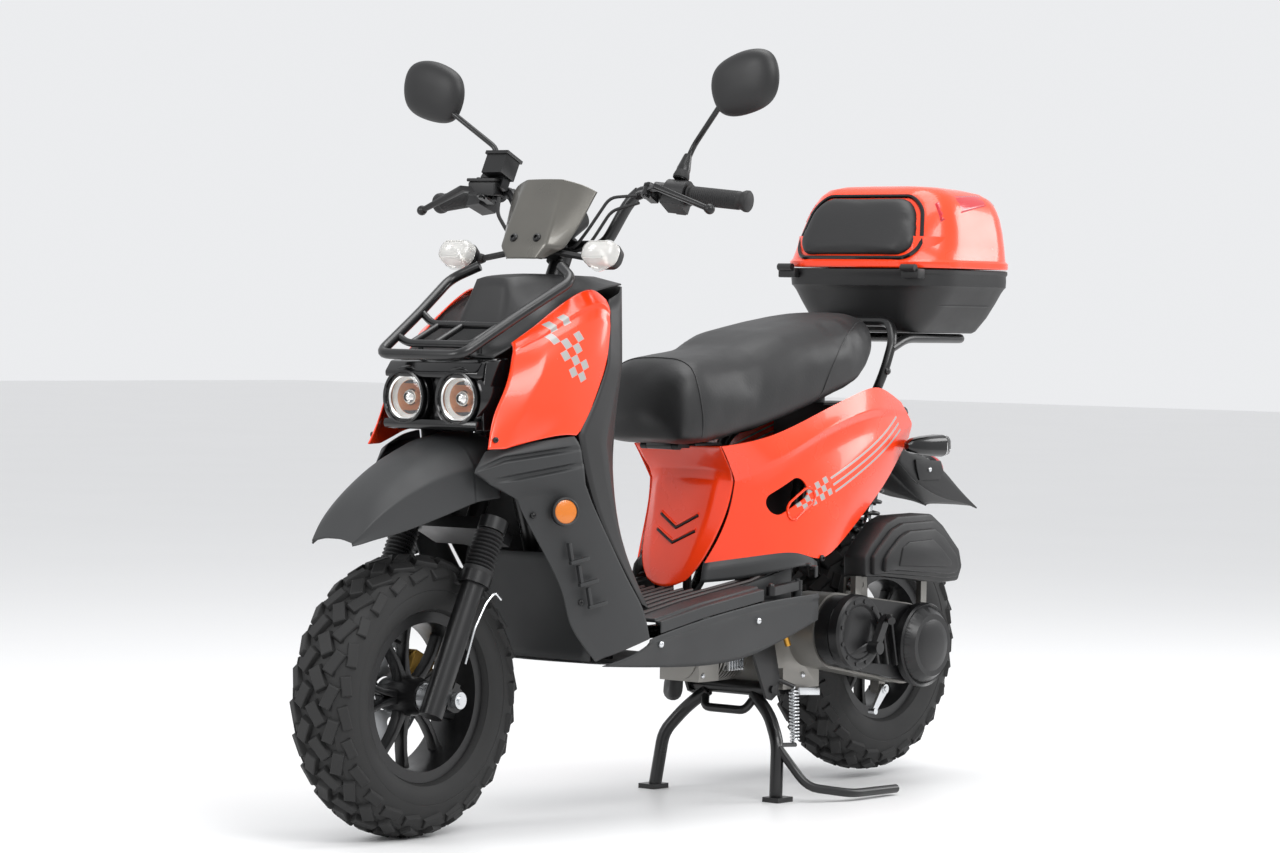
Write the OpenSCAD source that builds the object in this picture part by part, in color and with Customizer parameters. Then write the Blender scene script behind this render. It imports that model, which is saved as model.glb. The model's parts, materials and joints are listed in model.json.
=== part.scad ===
// Moped scooter: step-through frame, raked telescopic fork, rear-swinging engine, centre stand and top box.
// Outlines are drawn for the standard wheelbase and tyre. X points forward from the front axle, Y to the
// rider's left and Z up from the ground. place() moves the whole scooter so that its box is centred.

/* [Overall] */
// Distance between the axles
wheelbase = 1290; // [1120:10:1560]
// Half of the width over the grip ends
bar_half_w = 352; // [310:2:430]

/* [Wheels] */
// Front tyre radius over the tread
tyre_r = 235; // [225:1:285]
// Rear tyre radius over the tread
rear_tyre_r = 240; // [230:1:250]
// Half of the tyre's section width
tyre_half_w = 62; // [52:1:66]
// Radius of the tyre's bead seat on the rim
bead_r = 127; // [118:1:134]
// Height of the rim flange over the bead seat
flange_h = 16; // [10:1:20]
// Half of the distance between the rim flanges
rim_half_w = 40; // [34:1:44]
// Height that the centre stand lifts the rear tyre
stand_lift = 14; // [6:1:20]
// Axle radius
axle_r = 7.5; // [6:0.5:9]
// Brake disc radius
disc_r = 88; // [74:1:96]
// Brake disc thickness
disc_t = 4; // [3:0.5:5]

/* [Fork] */
// Steering head angle from the vertical
rake = 25.5; // [25:0.1:26]
// Distance of the axle ahead of the steering axis
axle_lead = 24; // [18:1:30]
// Distance of the fork legs ahead of the axle
leg_lead = 28; // [26:1:34]
// Half of the distance between the fork legs
leg_y = 95; // [92:1:110]
// Fork lower leg radius
leg_r = 20; // [18:0.5:22]
// Fork inner tube radius
stanchion_r = 15; // [12:0.5:16]
// Fork travel in use
fork_travel = 50; // [30:5:55]
// Steering stem radius
stem_r = 15; // [13:0.5:17]

/* [Handlebar] */
// Handlebar tube radius
bar_r = 11; // [10:0.5:12.7]
// Grip length
grip_len = 112; // [100:2:125]
// Grip outer radius
grip_r = 16.5; // [15:0.5:18]

/* [Stand] */
// Half of the width over the stand's feet
stand_half_w = 148; // [125:1:170]
// Stand leg tube radius
stand_tube_r = 12; // [10:0.5:14]
// Stand pivot tube radius
pivot_tube_r = 14; // [12:0.5:16]

/* [Body] */
// Thickness of the plastic covers
skin = 3; // [2:0.5:4]
// Frame main tube radius
main_tube_r = 20; // [16:1:24]
// Frame side rail radius
rail_r = 12; // [10:0.5:14]
// Rack tube radius
rack_r = 9; // [7:0.5:11]

/* [Top box] */
// Half of the box's width
box_half_w = 190; // [160:2:228]
// Height of the box's lower half
box_base_h = 120; // [100:2:140]
// Wall of the box
box_wall = 4; // [3:0.5:5]

/* [Clearances] */
// Gap between neighbouring covers
gap = 0.5; // [0.3:0.1:1]
// Radial gap of a shaft that turns
run = 0.05; // [0.02:0.01:0.09]
// Gap between bodies that move past each other
free = 2; // [1:0.5:4]

/* [Hidden] */
$fn = 48;
eps = 0.01;

// Standard sizes that the outlines are drawn for
std_wheelbase = 1290;
std_tyre_r = 235;
std_rear_z = 254;
std_rear_x = -1290;
tail_end_x = -1576;

// Shifts of the three groups when a driving size changes
stretch = wheelbase - std_wheelbase;
tyre_grow = tyre_r - std_tyre_r;
rise = 2 * tyre_grow;
front_dx = -tyre_grow * tan(rake);
rear_axle_z = rear_tyre_r + stand_lift;
drive_dz = rear_axle_z - std_rear_z;
x_mid = (tyre_r + tail_end_x - stretch) / 2;
stem_grow = tyre_grow / cos(rake);

function fb(p) = p + [front_dx, 0, rise];
function rb(p) = p + [-stretch, 0, rise];
function dr(p) = p + [-stretch, 0, drive_dz];

module place() { translate([-x_mid, 0, 0]) children(); }
module front_body() { place() translate([front_dx, 0, rise]) children(); }
module rear_body() { place() translate([-stretch, 0, rise]) children(); }
module drive() { place() translate([-stretch, 0, drive_dz]) children(); }
module steer() { place() translate([0, 0, tyre_r]) rotate([0, -rake, 0]) children(); }
module steer_top() { steer() translate([0, 0, stem_grow]) children(); }
module both_sides() {
  children();
  mirror([0, 1, 0]) children();
}

// ---------- shape helpers ----------

function unit(v) = v / norm(v);
function corner(a, p, b, d, n) = let (s = p + unit(a - p) * d, e = p + unit(b - p) * d)
  [for (i = [0:n]) let (t = i / n) (1 - t) * (1 - t) * s + 2 * t * (1 - t) * p + t * t * e];
// A route with its inner corners rounded over the distance d
function bend(pts, d, n = 4) = let (last = len(pts) - 1) concat([pts[0]],
  [for (i = [1:last - 1]) each corner(pts[i - 1], pts[i], pts[i + 1], d, n)], [pts[last]]);
function along(p, i) = unit(p[min(i + 1, len(p) - 1)] - p[max(i - 1, 0)]);
function carried(p, i, v) = i == len(p) ? [] : let (t = along(p, i), m = unit(v - (v * t) * t))
  concat([m], carried(p, i + 1, m));
function first_side(t) = abs(t[2]) < 0.9 ? [0, 0, 1] : [1, 0, 0];

// Twice the area vector of a ring of points
function ring_area(ring) = sum([for (i = [1:len(ring) - 2]) cross(ring[i] - ring[0], ring[i + 1] - ring[0])]);
function sum(list, i = 0) = i == len(list) - 1 ? list[i] : list[i] + sum(list, i + 1);
function reversed(face) = [for (i = [len(face) - 1:-1:0]) face[i]];

// A skin over rings of points, closed at both ends
module loft(rings) {
  n = len(rings[0]);
  last = len(rings) - 1;
  points = [for (ring = rings) each ring];
  sides = [for (j = [0:last - 1], i = [0:n - 1]) let (k = (i + 1) % n)
    each [[j * n + i, (j + 1) * n + i, (j + 1) * n + k], [j * n + i, (j + 1) * n + k, j * n + k]]];
  ends = [[for (i = [0:n - 1]) i], [for (i = [n - 1:-1:0]) last * n + i]];
  forward = ring_area(rings[0]) * (rings[1][0] - rings[0][0]) > 0;
  faces = concat(ends, sides);
  polyhedron(points, forward ? faces : [for (f = faces) reversed(f)], convexity = 6);
}

// A round tube along a route
module tube(pts, r, sides = 12) {
  dirs = carried(pts, 0, first_side(along(pts, 0)));
  loft([for (i = [0:len(pts) - 1]) let (t = along(pts, i), u = dirs[i], v = cross(t, u))
    [for (k = [0:sides - 1]) let (a = -360 * k / sides) pts[i] + r * (cos(a) * u + sin(a) * v)]]);
}

// A cover from a grid of points on its outer face and a vector to its inner face
module cover(grid, inward) {
  rows = len(grid);
  cols = len(grid[0]);
  front = [for (row = grid) each row];
  back = [for (p = front) p + inward];
  m = rows * cols;
  edge = concat([for (c = [0:cols - 2]) c], [for (r = [0:rows - 2]) r * cols + cols - 1],
    [for (c = [cols - 1:-1:1]) (rows - 1) * cols + c], [for (r = [rows - 1:-1:1]) r * cols]);
  quads = [for (r = [0:rows - 2], c = [0:cols - 2]) [r * cols + c, (r + 1) * cols + c,
    (r + 1) * cols + c + 1, r * cols + c + 1]];
  faces = concat([for (q = quads) each [[q[0], q[3], q[2]], [q[0], q[2], q[1]]]],
    [for (q = quads) each [[q[0] + m, q[1] + m, q[2] + m], [q[0] + m, q[2] + m, q[3] + m]]],
    [for (i = [0:len(edge) - 1]) let (a = edge[i], b = edge[(i + 1) % len(edge)])
      each [[a, a + m, b + m], [a, b + m, b]]]);
  outward = cross(grid[0][1] - grid[0][0], grid[1][0] - grid[0][0]) * inward > 0;
  polyhedron([each front, each back], outward ? faces : [for (f = faces) reversed(f)], convexity = 6);
}

// A side outline in X and Z, extruded between two values of Y
module side(outline, y0, y1) {
  translate([0, y1, 0]) rotate([90, 0, 0]) linear_extrude(y1 - y0) polygon(outline);
}
module bar_y(r, y0, y1) { translate([0, y0, 0]) rotate([-90, 0, 0]) cylinder(r = r, h = y1 - y0); }
module rod(a, b, r) {
  d = b - a;
  translate(a) rotate([0, acos(d[2] / norm(d)), atan2(d[1], d[0])]) cylinder(r = r, h = norm(d));
}
module block(x0, x1, y0, y1, z0, z1) { translate([x0, y0, z0]) cube([x1 - x0, y1 - y0, z1 - z0]); }

// ---------- wheels ----------

hub_half_w = 44;
hub_r = 30;
rim_wall = 5;
disc_face_y = 47;

module tyre(r, w) {
  h = r - bead_r;
  bead = bead_r + gap;
  rotate([90, 0, 0]) rotate_extrude($fn = 96) polygon([
    [bead, -rim_half_w + gap], [bead + flange_h, -rim_half_w + gap], [bead + flange_h + 4, -0.82 * w],
    [bead + 0.5 * h, -w], [bead + 0.78 * h, -0.96 * w], [r - 8, -0.78 * w], [r, -0.35 * w], [r, 0.35 * w],
    [r - 8, 0.78 * w], [bead + 0.78 * h, 0.96 * w], [bead + 0.5 * h, w], [bead + flange_h + 4, 0.82 * w],
    [bead + flange_h, rim_half_w - gap], [bead, rim_half_w - gap], [bead, rim_half_w - 10],
    [bead + flange_h, rim_half_w - 10], [bead + 0.5 * h, w - 8], [r - 20, 0.6 * w], [r - 16, 0],
    [r - 20, -0.6 * w], [bead + 0.5 * h, -w + 8], [bead + flange_h, -rim_half_w + 10],
    [bead, -rim_half_w + 10]]);
}

module rim(bore) {
  rotate([90, 0, 0]) {
    rotate_extrude($fn = 96) polygon([
      [bead_r - rim_wall, -rim_half_w - 4], [bead_r + flange_h, -rim_half_w - 4],
      [bead_r + flange_h, -rim_half_w], [bead_r, -rim_half_w], [bead_r, rim_half_w],
      [bead_r + flange_h, rim_half_w], [bead_r + flange_h, rim_half_w + 4],
      [bead_r - rim_wall, rim_half_w + 4]]);
    difference() {
      union() {
        cylinder(r = hub_r, h = 2 * hub_half_w, center = true);
        for (i = [0:4]) rotate(72 * i + 18) translate([0, 0, -12]) linear_extrude(24)
          polygon([[hub_r - 6, -11], [62, -9], [bead_r - 3, -40], [bead_r - 3, -26], [80, 0],
            [bead_r - 3, 26], [bead_r - 3, 40], [62, 9], [hub_r - 6, 11]]);
      }
      cylinder(r = bore, h = 200, center = true);
    }
  }
}

module front_wheel() { place() translate([0, 0, tyre_r]) children(); }
module rear_wheel() { place() translate([-wheelbase, 0, rear_axle_z]) children(); }

module front_tyre() { color("dimgray") front_wheel() tyre(tyre_r, tyre_half_w); }
module rear_tyre() { color("dimgray") rear_wheel() tyre(rear_tyre_r, tyre_half_w); }
module front_rim() {
  color("black") front_wheel() {
    rim(axle_r + run);
    difference() {
      bar_y(46, -disc_face_y, -38);
      bar_y(axle_r + run, -60, 0);
    }
  }
}
module rear_rim() { color("black") rear_wheel() rim(axle_r + gap); }

module front_brake_disc() {
  color("silver") front_wheel() {
    difference() {
      bar_y(disc_r, -disc_face_y - disc_t, -disc_face_y);
      bar_y(28, -60, -40);
      for (i = [0:9]) rotate([0, 36 * i, 0]) translate([disc_r - 14, 0, 0]) bar_y(5, -60, -40);
      for (i = [0:4]) rotate([0, 72 * i + 36, 0]) translate([52, 0, 0]) bar_y(9, -60, -40);
    }
    for (i = [0:4]) rotate([0, 72 * i, 0]) translate([37, 0, 0])
      bar_y(5, -disc_face_y - disc_t - 4, -disc_face_y - disc_t);
  }
}

lug_in = 78;
lug_out = 112;
module front_axle() {
  color("silver") steer() {
    bar_y(axle_r, -lug_out - 14, lug_out + 14);
    both_sides() bar_y(14, lug_out + gap, lug_out + 11);
    bar_y(12, -lug_in + gap, -disc_face_y - disc_t - 5);
    bar_y(25, hub_half_w + free / 2, 64);
    bar_y(12, 64, lug_in - gap);
    rod([0, 56, 20], [-34, 56, 46], 6);
  }
}

// ---------- fork ----------

leg_low = -42;
leg_top = 205;
collar_r = 27;
yoke_s = 290 + stem_grow;
yoke_t = 22;
slide_gap = 0.1;
gaiter_r = 25;

module fork_leg() {
  translate([leg_lead, leg_y, 0]) {
    difference() {
      union() {
        translate([0, 0, leg_low]) cylinder(r = leg_r, h = leg_top - leg_low);
        translate([0, 0, leg_top - 12]) cylinder(r = collar_r, h = 20);
      }
      translate([0, 0, leg_low + 22]) cylinder(r = stanchion_r + slide_gap, h = leg_top - leg_low);
    }
  }
}
module fork_lowers() {
  color("black") steer() {
    both_sides() {
      difference() {
        union() {
          fork_leg();
          bar_y(21, lug_in, lug_out);
          block(0, leg_lead - 14, lug_in, lug_out, -21, 26);
        }
        bar_y(axle_r + gap, 0, 130);
        translate([leg_lead, leg_y, leg_low + 22]) cylinder(r = stanchion_r + slide_gap, h = leg_top - leg_low);
      }
    }
    block(-18, leg_lead - 15, -lug_out + 10, -lug_in, 52, 84);
  }
}

caliper_out = -lug_in + gap;
module front_caliper() {
  color("goldenrod") steer() difference() {
    union() {
      block(-74, -22, caliper_out, -30, 46, 90);
      block(-24, -2, caliper_out, -62, 56, 80);
    }
    block(-100, -16, -disc_face_y - disc_t - free, -disc_face_y + free, 20, 80);
    bar_y(disc_r + free, -disc_face_y - disc_t - free, -disc_face_y + free);
  }
}

module fork_gaiters() {
  color("dimgray") steer() both_sides() translate([leg_lead, leg_y, leg_top + 8 + gap]) {
    n = 9;
    h = yoke_s - leg_top - 8 - 2 * gap;
    pitch = h / n;
    rotate_extrude() polygon(concat(
      [for (i = [0:n - 1]) each [[gaiter_r - 6, i * pitch], [gaiter_r, (i + 0.5) * pitch]]],
      [[gaiter_r - 6, h], [stanchion_r + 1.5, h], [stanchion_r + 1.5, 0]]));
  }
}

head_s0 = 384 + stem_grow;
head_s1 = 574 + stem_grow;
bar_s = 847 + stem_grow;
module steering_stem() {
  color("dimgray") steer() {
    both_sides() {
      translate([leg_lead, leg_y, yoke_s]) cylinder(r = stanchion_r + 9, h = yoke_t);
      block(-40, 36, 0, leg_y - 12, yoke_s, yoke_s + yoke_t);
    }
    translate([-axle_lead, 0, yoke_s]) cylinder(r = stem_r + 10, h = yoke_t);
    translate([-axle_lead, 0, yoke_s + 4]) cylinder(r = stem_r, h = bar_s - yoke_s - 28);
    both_sides() translate([leg_lead, leg_y, leg_low + 78]) cylinder(r = stanchion_r, h = yoke_s + yoke_t - leg_low - 78);
    translate([-axle_lead, 0, head_s0 - 6]) cylinder(r = 24, h = 6 - gap);
    translate([-axle_lead, 0, head_s1 + gap]) cylinder(r = 24, h = 12);
    translate([-axle_lead, 0, bar_s - 34]) difference() {
      cylinder(r = 21, h = 50);
      translate([0, 0, 34]) bar_y(bar_r + gap / 4, -40, 40);
    }
  }
}

// ---------- handlebar and controls ----------

bar_low = [-axle_lead, 0, bar_s];
grip_in_y = bar_half_w - grip_len;
bar_end = [-52, bar_half_w, 947 + stem_grow];
bar_rise = [-7, 150, 947 + stem_grow];
bar_dir = unit(bar_end - bar_rise);
function on_bar(y) = bar_rise + bar_dir * ((y - bar_rise[1]) / bar_dir[1]);

// Moves to the point of the left bar end at y, with local Z pointing outwards along the bar
module at_bar(y) {
  p = on_bar(y);
  translate(p) rotate([0, 0, atan2(bar_dir[1], bar_dir[0])]) rotate([0, 90, 0]) children();
}
housing_len = 38;
housing_y = grip_in_y - housing_len / 2 - 2;

module handlebar() {
  color("black") steer() both_sides() {
    tube(bend([bar_low - [0, 20, 0], bar_low + [0, 92, 0], [-10, 128, 928 + stem_grow], bar_rise,
      on_bar(bar_rise[1] + 40)], 22), bar_r - 0.5, 16);
    at_bar(bar_rise[1] + 30) cylinder(r = bar_r, h = (grip_in_y - bar_rise[1] - 30) / bar_dir[1] + grip_len - 12);
  }
}

module grip(inner_r) {
  len = grip_len - 4;
  difference() {
    union() {
      cylinder(r = grip_r, h = len);
      cylinder(r = grip_r + 5, h = 5);
      translate([0, 0, len - 6]) cylinder(r = grip_r + 5, h = 6);
    }
    translate([0, 0, -1]) cylinder(r = inner_r, h = len - 5);
  }
}
module left_grip() { color("dimgray") steer() at_bar(grip_in_y) grip(bar_r + gap / 2); }
module throttle_grip() { color("dimgray") steer() mirror([0, 1, 0]) at_bar(grip_in_y) grip(bar_r + run); }

module housing_shell() {
  difference() {
    union() {
      cylinder(r = 24, h = housing_len, center = true);
      block(-2, 28, -20, 20, -housing_len / 2, housing_len / 2);
    }
    cylinder(r = bar_r + gap / 2, h = 2 * housing_len, center = true);
  }
}
module switch_housings() {
  color("black") steer() {
    difference() {
      at_bar(housing_y) housing_shell();
      at_bar(housing_y) translate([9, 11, 0]) rotate([-90, 0, 0]) cylinder(r = 5.3, h = 40);
      at_bar(housing_y) block(16.7, 25.3, 13.5, 40, -8.3, 8.3);
    }
    mirror([0, 1, 0]) difference() {
      at_bar(housing_y) housing_shell();
      at_bar(housing_y) translate([9, 11, 0]) rotate([-90, 0, 0]) cylinder(r = 5.3, h = 40);
    }
  }
}
// Buttons face the rider, on the rear of the housings
module button(r, x) { translate([x, 14, 0]) rotate([-90, 0, 0]) cylinder(r = r, h = 14); }
module horn_button() { color("gold") steer() at_bar(housing_y) button(5, 9); }
module start_button() { color("red") steer() mirror([0, 1, 0]) at_bar(housing_y) button(5, 9); }
module indicator_switch() {
  color("gray") steer() at_bar(housing_y) {
    button(4, 21);
    translate([21, 27, 0]) block(-3, 3, 0, 5, -9, 9);
  }
}

perch_y = housing_y - housing_len / 2 - 14;
lever_pivot = on_bar(perch_y) + [32, 0, -14];
lever_tip = on_bar(bar_half_w - 26) + [56, 0, -46];
module perch() {
  difference() {
    union() {
      at_bar(perch_y) cylinder(r = 17, h = 20, center = true);
      translate(lever_pivot + [0, 0, -11]) cylinder(r = 10, h = 5 - gap);
      translate(lever_pivot + [0, 0, 6 + gap]) cylinder(r = 10, h = 5 - gap);
      translate(lever_pivot + [-26, -8, 6 + gap]) cube([26, 16, 5 - gap]);
      translate(lever_pivot + [-26, -8, -11]) cube([20, 16, 5 - gap]);
      translate(lever_pivot + [-24, -8, -11]) cube([8, 16, 22]);
    }
    at_bar(perch_y) cylinder(r = bar_r + gap / 2, h = 90, center = true);
    translate(lever_pivot + [0, 0, -30]) cylinder(r = 4, h = 60);
  }
  translate(lever_pivot + [0, 0, -13]) cylinder(r = 4 - gap / 2, h = 27);
  translate(lever_pivot + [0, 0, 11]) cylinder(r = 6, h = 3);
  translate(lever_pivot + [0, 0, -14]) cylinder(r = 6, h = 3);
}
module lever() {
  difference() {
    union() {
      translate(lever_pivot + [0, 0, -6]) cylinder(r = 9, h = 12);
      hull() {
        translate(lever_pivot + [4, 6, -4]) cylinder(r = 5, h = 9, $fn = 24);
        translate(lever_pivot + [20, 34, -8]) cylinder(r = 6, h = 8, $fn = 24);
      }
      hull() {
        translate(lever_pivot + [20, 34, -8]) cylinder(r = 6, h = 8, $fn = 24);
        translate(lever_tip) sphere(r = 5, $fn = 24);
      }
      translate(lever_tip) sphere(r = 9);
    }
    translate(lever_pivot + [0, 0, -30]) cylinder(r = 4, h = 60);
  }
}
module left_lever() { color("black") steer() lever(); }
module right_lever() { color("black") steer() mirror([0, 1, 0]) lever(); }

module brake_master_cylinder() {
  color("black") steer() {
    mirror([0, 1, 0]) {
      perch();
      translate(on_bar(perch_y) + [20, -42, -6]) rotate([0, 0, 12]) cube([16, 36, 20]);
      translate(on_bar(perch_y) + [16, -46, 14]) cube([38, 46, 36]);
      translate(on_bar(perch_y) + [13, -49, 50]) cube([44, 52, 6]);
    }
    perch();
  }
}

mirror_base = on_bar(housing_y) + [6, 0, 24 + gap];
mirror_joint = [49, bar_half_w - 28, 1098 + stem_grow];
module mirror_stem() {
  translate(mirror_base) cylinder(r = 12, h = 20);
  translate(mirror_base + [0, 0, 20]) cylinder(r1 = 12, r2 = 7, h = 26);
  tube(bend([mirror_base + [0, 0, 24], mirror_base + [-2, 4, 66], mirror_joint - [8, 17, 14]], 14), 5);
  translate(mirror_joint) sphere(r = 8);
  rod(mirror_joint - [8, 17, 14], mirror_joint, 5);
}
module mirror_stems() { color("black") steer() both_sides() mirror_stem(); }

mirror_w = 144;
mirror_h = 94;
mirror_t = 24;
module mirror_head() {
  difference() {
    translate(mirror_joint) rotate([0, rake, 0]) hull() {
      translate([0, 26, 6]) rotate([12, 0, 0]) {
        translate([mirror_t - 8, mirror_w / 2 - 20, 30]) sphere(r = 8, $fn = 20);
        translate([mirror_t - 8, mirror_w / 2 - 34, -28]) sphere(r = 8, $fn = 20);
        translate([mirror_t - 8, -28, -18]) sphere(r = 8, $fn = 20);
        translate([mirror_t - 8, -18, 40]) sphere(r = 8, $fn = 20);
        for (q = [[56, 22, 26], [42, -28, 20], [-34, -20, 20], [-24, 38, 20]])
          translate([-13, q[0], q[1]]) rotate([0, 90, 0]) cylinder(r = q[2], h = 6, $fn = 32);
      }
    }
    translate(mirror_joint) sphere(r = 8 + gap / 2);
    for (a = [-13, 0, 13]) translate(mirror_joint) rotate([0, a, 0]) rod([0, 0, 0], [-24, -51, -42], 8);
  }
}
module left_mirror() { color("black") steer() mirror_head(); }
module right_mirror() { color("black") steer() mirror([0, 1, 0]) mirror_head(); }

pod_p = [24, 0, 872 + stem_grow];
pod_r = 56;
screen_x = 74;
module instrument_pod() {
  color("black") steer() {
    difference() {
      union() {
        translate(pod_p + [0, 0, -16]) rotate([0, -14, 0]) cylinder(r1 = pod_r - 14, r2 = pod_r, h = 44);
        translate([screen_x - 34, -34, 800 + stem_grow]) cube([30, 68, 64]);
        translate([-axle_lead + 22, -30, 812 + stem_grow]) cube([54, 60, 16]);
      }
      translate([-axle_lead, 0, 700 + stem_grow]) cylinder(r = 21.5 + gap, h = 300);
      translate([0, 0, bar_s]) translate([-axle_lead, 0, 0]) bar_y(bar_r + 1, -60, 60);
    }
    both_sides() translate([screen_x - 3 - gap, 26, 816 + stem_grow]) rotate([0, -90, 0]) cylinder(r = 7, h = 12);
  }
}
module flyscreen() {
  color("gray") steer_top() cover([
    [[38, 96, 919], [74, 40, 926], [74, -40, 926], [38, -96, 919]],
    [[42, 84, 850], [screen_x, 48, 850], [screen_x, -48, 850], [42, -84, 850]],
    [[46, 68, 806], [screen_x, 52, 800], [screen_x, -52, 800], [46, -68, 806]],
    [[60, 38, 779], [68, 34, 778], [68, -34, 778], [60, -38, 779]]], [-skin, 0, 0]);
}
module front_indicators() {
  color("orange") steer_top() both_sides() {
    rod([40, 34 + 3 * gap, 806], [28, 132, 796], 5.5);
    hull() for (s = [-1, 1], y = [142, 182]) translate([30, y, 794 + 8 * s]) rotate([0, 90, 0])
      cylinder(r = 15, h = 42, $fn = 32);
  }
}

cable_r = 2.8;
hose_r = 3.5;
perch_front = lever_pivot + [6, -14, -12];
module control_cables() {
  color("black") steer() {
    tube(bend([perch_front, perch_front + [8, -52, -8], [22, 84, 850 + stem_grow], [20, 66, 820 + stem_grow],
      [20, 30 + gap, 820 + stem_grow]], 14), cable_r, 8);
    tube(bend([perch_front + [-12, -2, -8], perch_front + [-6, -52, -26], [4, 84, 838 + stem_grow],
      [8, 64, 820 + stem_grow], [8, 30 + gap, 820 + stem_grow]], 14), cable_r, 8);
    mirror([0, 1, 0]) tube(bend([perch_front + [4, -36, -4], perch_front + [4, -44, -36],
      [8, 84, 836 + stem_grow], [12, 60, 820 + stem_grow], [12, 30 + gap, 820 + stem_grow]], 12), hose_r, 8);
  }
}

// ---------- frame ----------

hanger = [-850, 0, 340];
stand_pivot = [-885, 0, 196];
shock_top = [-1205, 96, 648];
shock_foot = [-1130, 96, 378];
rail_y = 95;
tank_rail_y = 98;
tail_rail_y = 60;
plate_y = 86;
module frame_tubes() {
  tube(bend([fb([-252, 0, 640]), fb([-300, 0, 540]), fb([-345, 0, 400]), fb([-410, 0, 322]),
    fb([-470, 0, 318])], 34), main_tube_r, 16);
  rod(fb([-455, -rail_y, 318]), fb([-455, rail_y, 318]), 16);
  both_sides() {
    tube(bend([fb([-455, rail_y, 318]), rb([-820, rail_y, 330]), rb([-905, rail_y, 380]),
      rb([-965, tank_rail_y, 640]), rb([-1060, tank_rail_y, 696]), rb([-1380, tail_rail_y, 696])], 30), rail_r);
  }
  rod(rb([-822, -rail_y, 334]), rb([-822, rail_y, 334]), 9);
  rod(rb([-1300, -70, 696]), rb([-1300, 70, 696]), 9);
  both_sides() rod(rb([-822, 60, 334]), rb([-822, 60, bucket_low - gap]), 8);
}
module frame_plates() {
  both_sides() {
    drive() difference() {
      side([[-800, 320 + rise - drive_dz], [-880, 352 + rise - drive_dz], [-876, 330], [-908, 214], [-901, 186],
        [-884, 176], [-868, 182], [-852, 214]], plate_y, plate_y + 6);
      translate(hanger) bar_y(6 - eps, 60, 120);
    }
    rear_body() {
      translate(shock_top) {
        block(-16, 16, -22, 15, 20, 28);
        block(-12, 12, -17, -11, -5.5, 40);
        block(-12, 12, 10, 15, -5.5, 26);
      }
    }
  }
  front_body() rod([-222, 0, 712], [-121, 0, 722], 8);
  front_body() block(-123.5, -118 - gap, -105 + gap, 105 - gap, 714, 730);
  both_sides() {
    place() rod(fb([-500, rail_y, 320]), fb([-500, rail_y, 354.2]), 8);
    rear_body() rod([-800, 108, 330], [-800, 108, 400.6], 8);
    front_body() rod([-455, 60, 318], [-455, 60, 274.8], 8);
  }
  drive() translate(hanger) bar_y(6, -plate_y - 6, plate_y + 6);
  drive() translate(stand_pivot) bar_y(7, -plate_y - 10, plate_y + 10);
  both_sides() rear_body() translate(shock_top) bar_y(5, -16, 14);
  drive() rod([-905, plate_y, 214], [-926, 112, 200], 4);
}
module main_frame() {
  color("black") {
    place() frame_tubes();
    frame_plates();
    steer() difference() {
      translate([-axle_lead, 0, head_s0]) cylinder(r = 26, h = head_s1 - head_s0);
      translate([-axle_lead, 0, head_s0 - 1]) cylinder(r = stem_r + run, h = head_s1 - head_s0 + 2);
    }
  }
}

// ---------- front body ----------

lamp_y = 59;
lamp_z = 729;
lamp_r = 46;
module headlight_panel() {
  color("black") front_body() headlight_ears();
  color("black") front_body() difference() {
    side([[-54, 675], [-48, 690], [-52, 762], [-78, 792], [-112, 797], [-124, 760], [-124, 675]], -109, 109);
    both_sides() translate([-140, lamp_y, lamp_z]) rotate([0, 90, 0]) cylinder(r = lamp_r + gap, h = 120);
    block(-130, -60 - skin, -105, 105, 684, 784);
  }
}
module headlight_ears() {
  both_sides() block(-72, -56, 98, 109, 654, 692);
  both_sides() block(-96, -90, 70, 84, 788, 797.2);
}
module headlights() {
  color("white") front_body() both_sides() translate([-118, lamp_y, lamp_z]) rotate([0, 90, 0]) {
    rotate_extrude() polygon([[0, 0], [20, 0], [lamp_r, 40], [lamp_r, 66], [lamp_r - 3, 66], [lamp_r - 3, 42],
      [18, 4], [0, 4]]);
    cylinder(r = 12, h = 30);
    translate([0, 0, 58]) cylinder(r = lamp_r - 3 + eps, h = 4);
  }
}
module front_side_panels() {
  color("orangered") front_body() both_sides() {
    cover([
      [[-129, 106, 822], [-200, 120, 868], [-290, 130, 914], [-326, 148, 898]],
      [[-112, 118, 800], [-178, 148, 842], [-276, 166, 872], [-318, 165, 862]],
      [[-90, 132, 745], [-150, 164, 778], [-250, 178, 800], [-296, 176, 790]],
      [[-62, 124, 700], [-112, 158, 710], [-200, 178, 722], [-262, 178, 728]],
      [[-40, 138, 648], [-100, 144, 655], [-170, 171, 666], [-218, 178, 671]]], [0, -skin, 0]);
    translate([-62, 139, 664]) rotate([90, 0, 0]) cylinder(r = 8, h = 139 - 109 - gap);
  }
}
module front_rack() {
  color("black") front_body() {
    tube(bend([[-273, 92, 953], [-250, 138, 930], [-140, 112, 868], [-21, 92, 801], [-21, -92, 801],
      [-140, -112, 868], [-250, -138, 930], [-273, -92, 953]], 22), rack_r);
    tube(bend([[-150, 116, 874], [-142, 80, 850], [-142, -80, 850], [-150, -116, 874]], 16), rack_r - 2);
    tube(bend([[-76, 100, 832], [-70, 72, 818], [-70, -72, 818], [-76, -100, 832]], 16), rack_r - 2);
    rod([-142, -12, 850], [-70, -12, 818], 6);
    both_sides() rod([-96, 66, 804.3], [-96, 66, 829], 5);
    both_sides() rod([-70, 66, 818], [-142, 66, 850], 6);
  }
}
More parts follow.
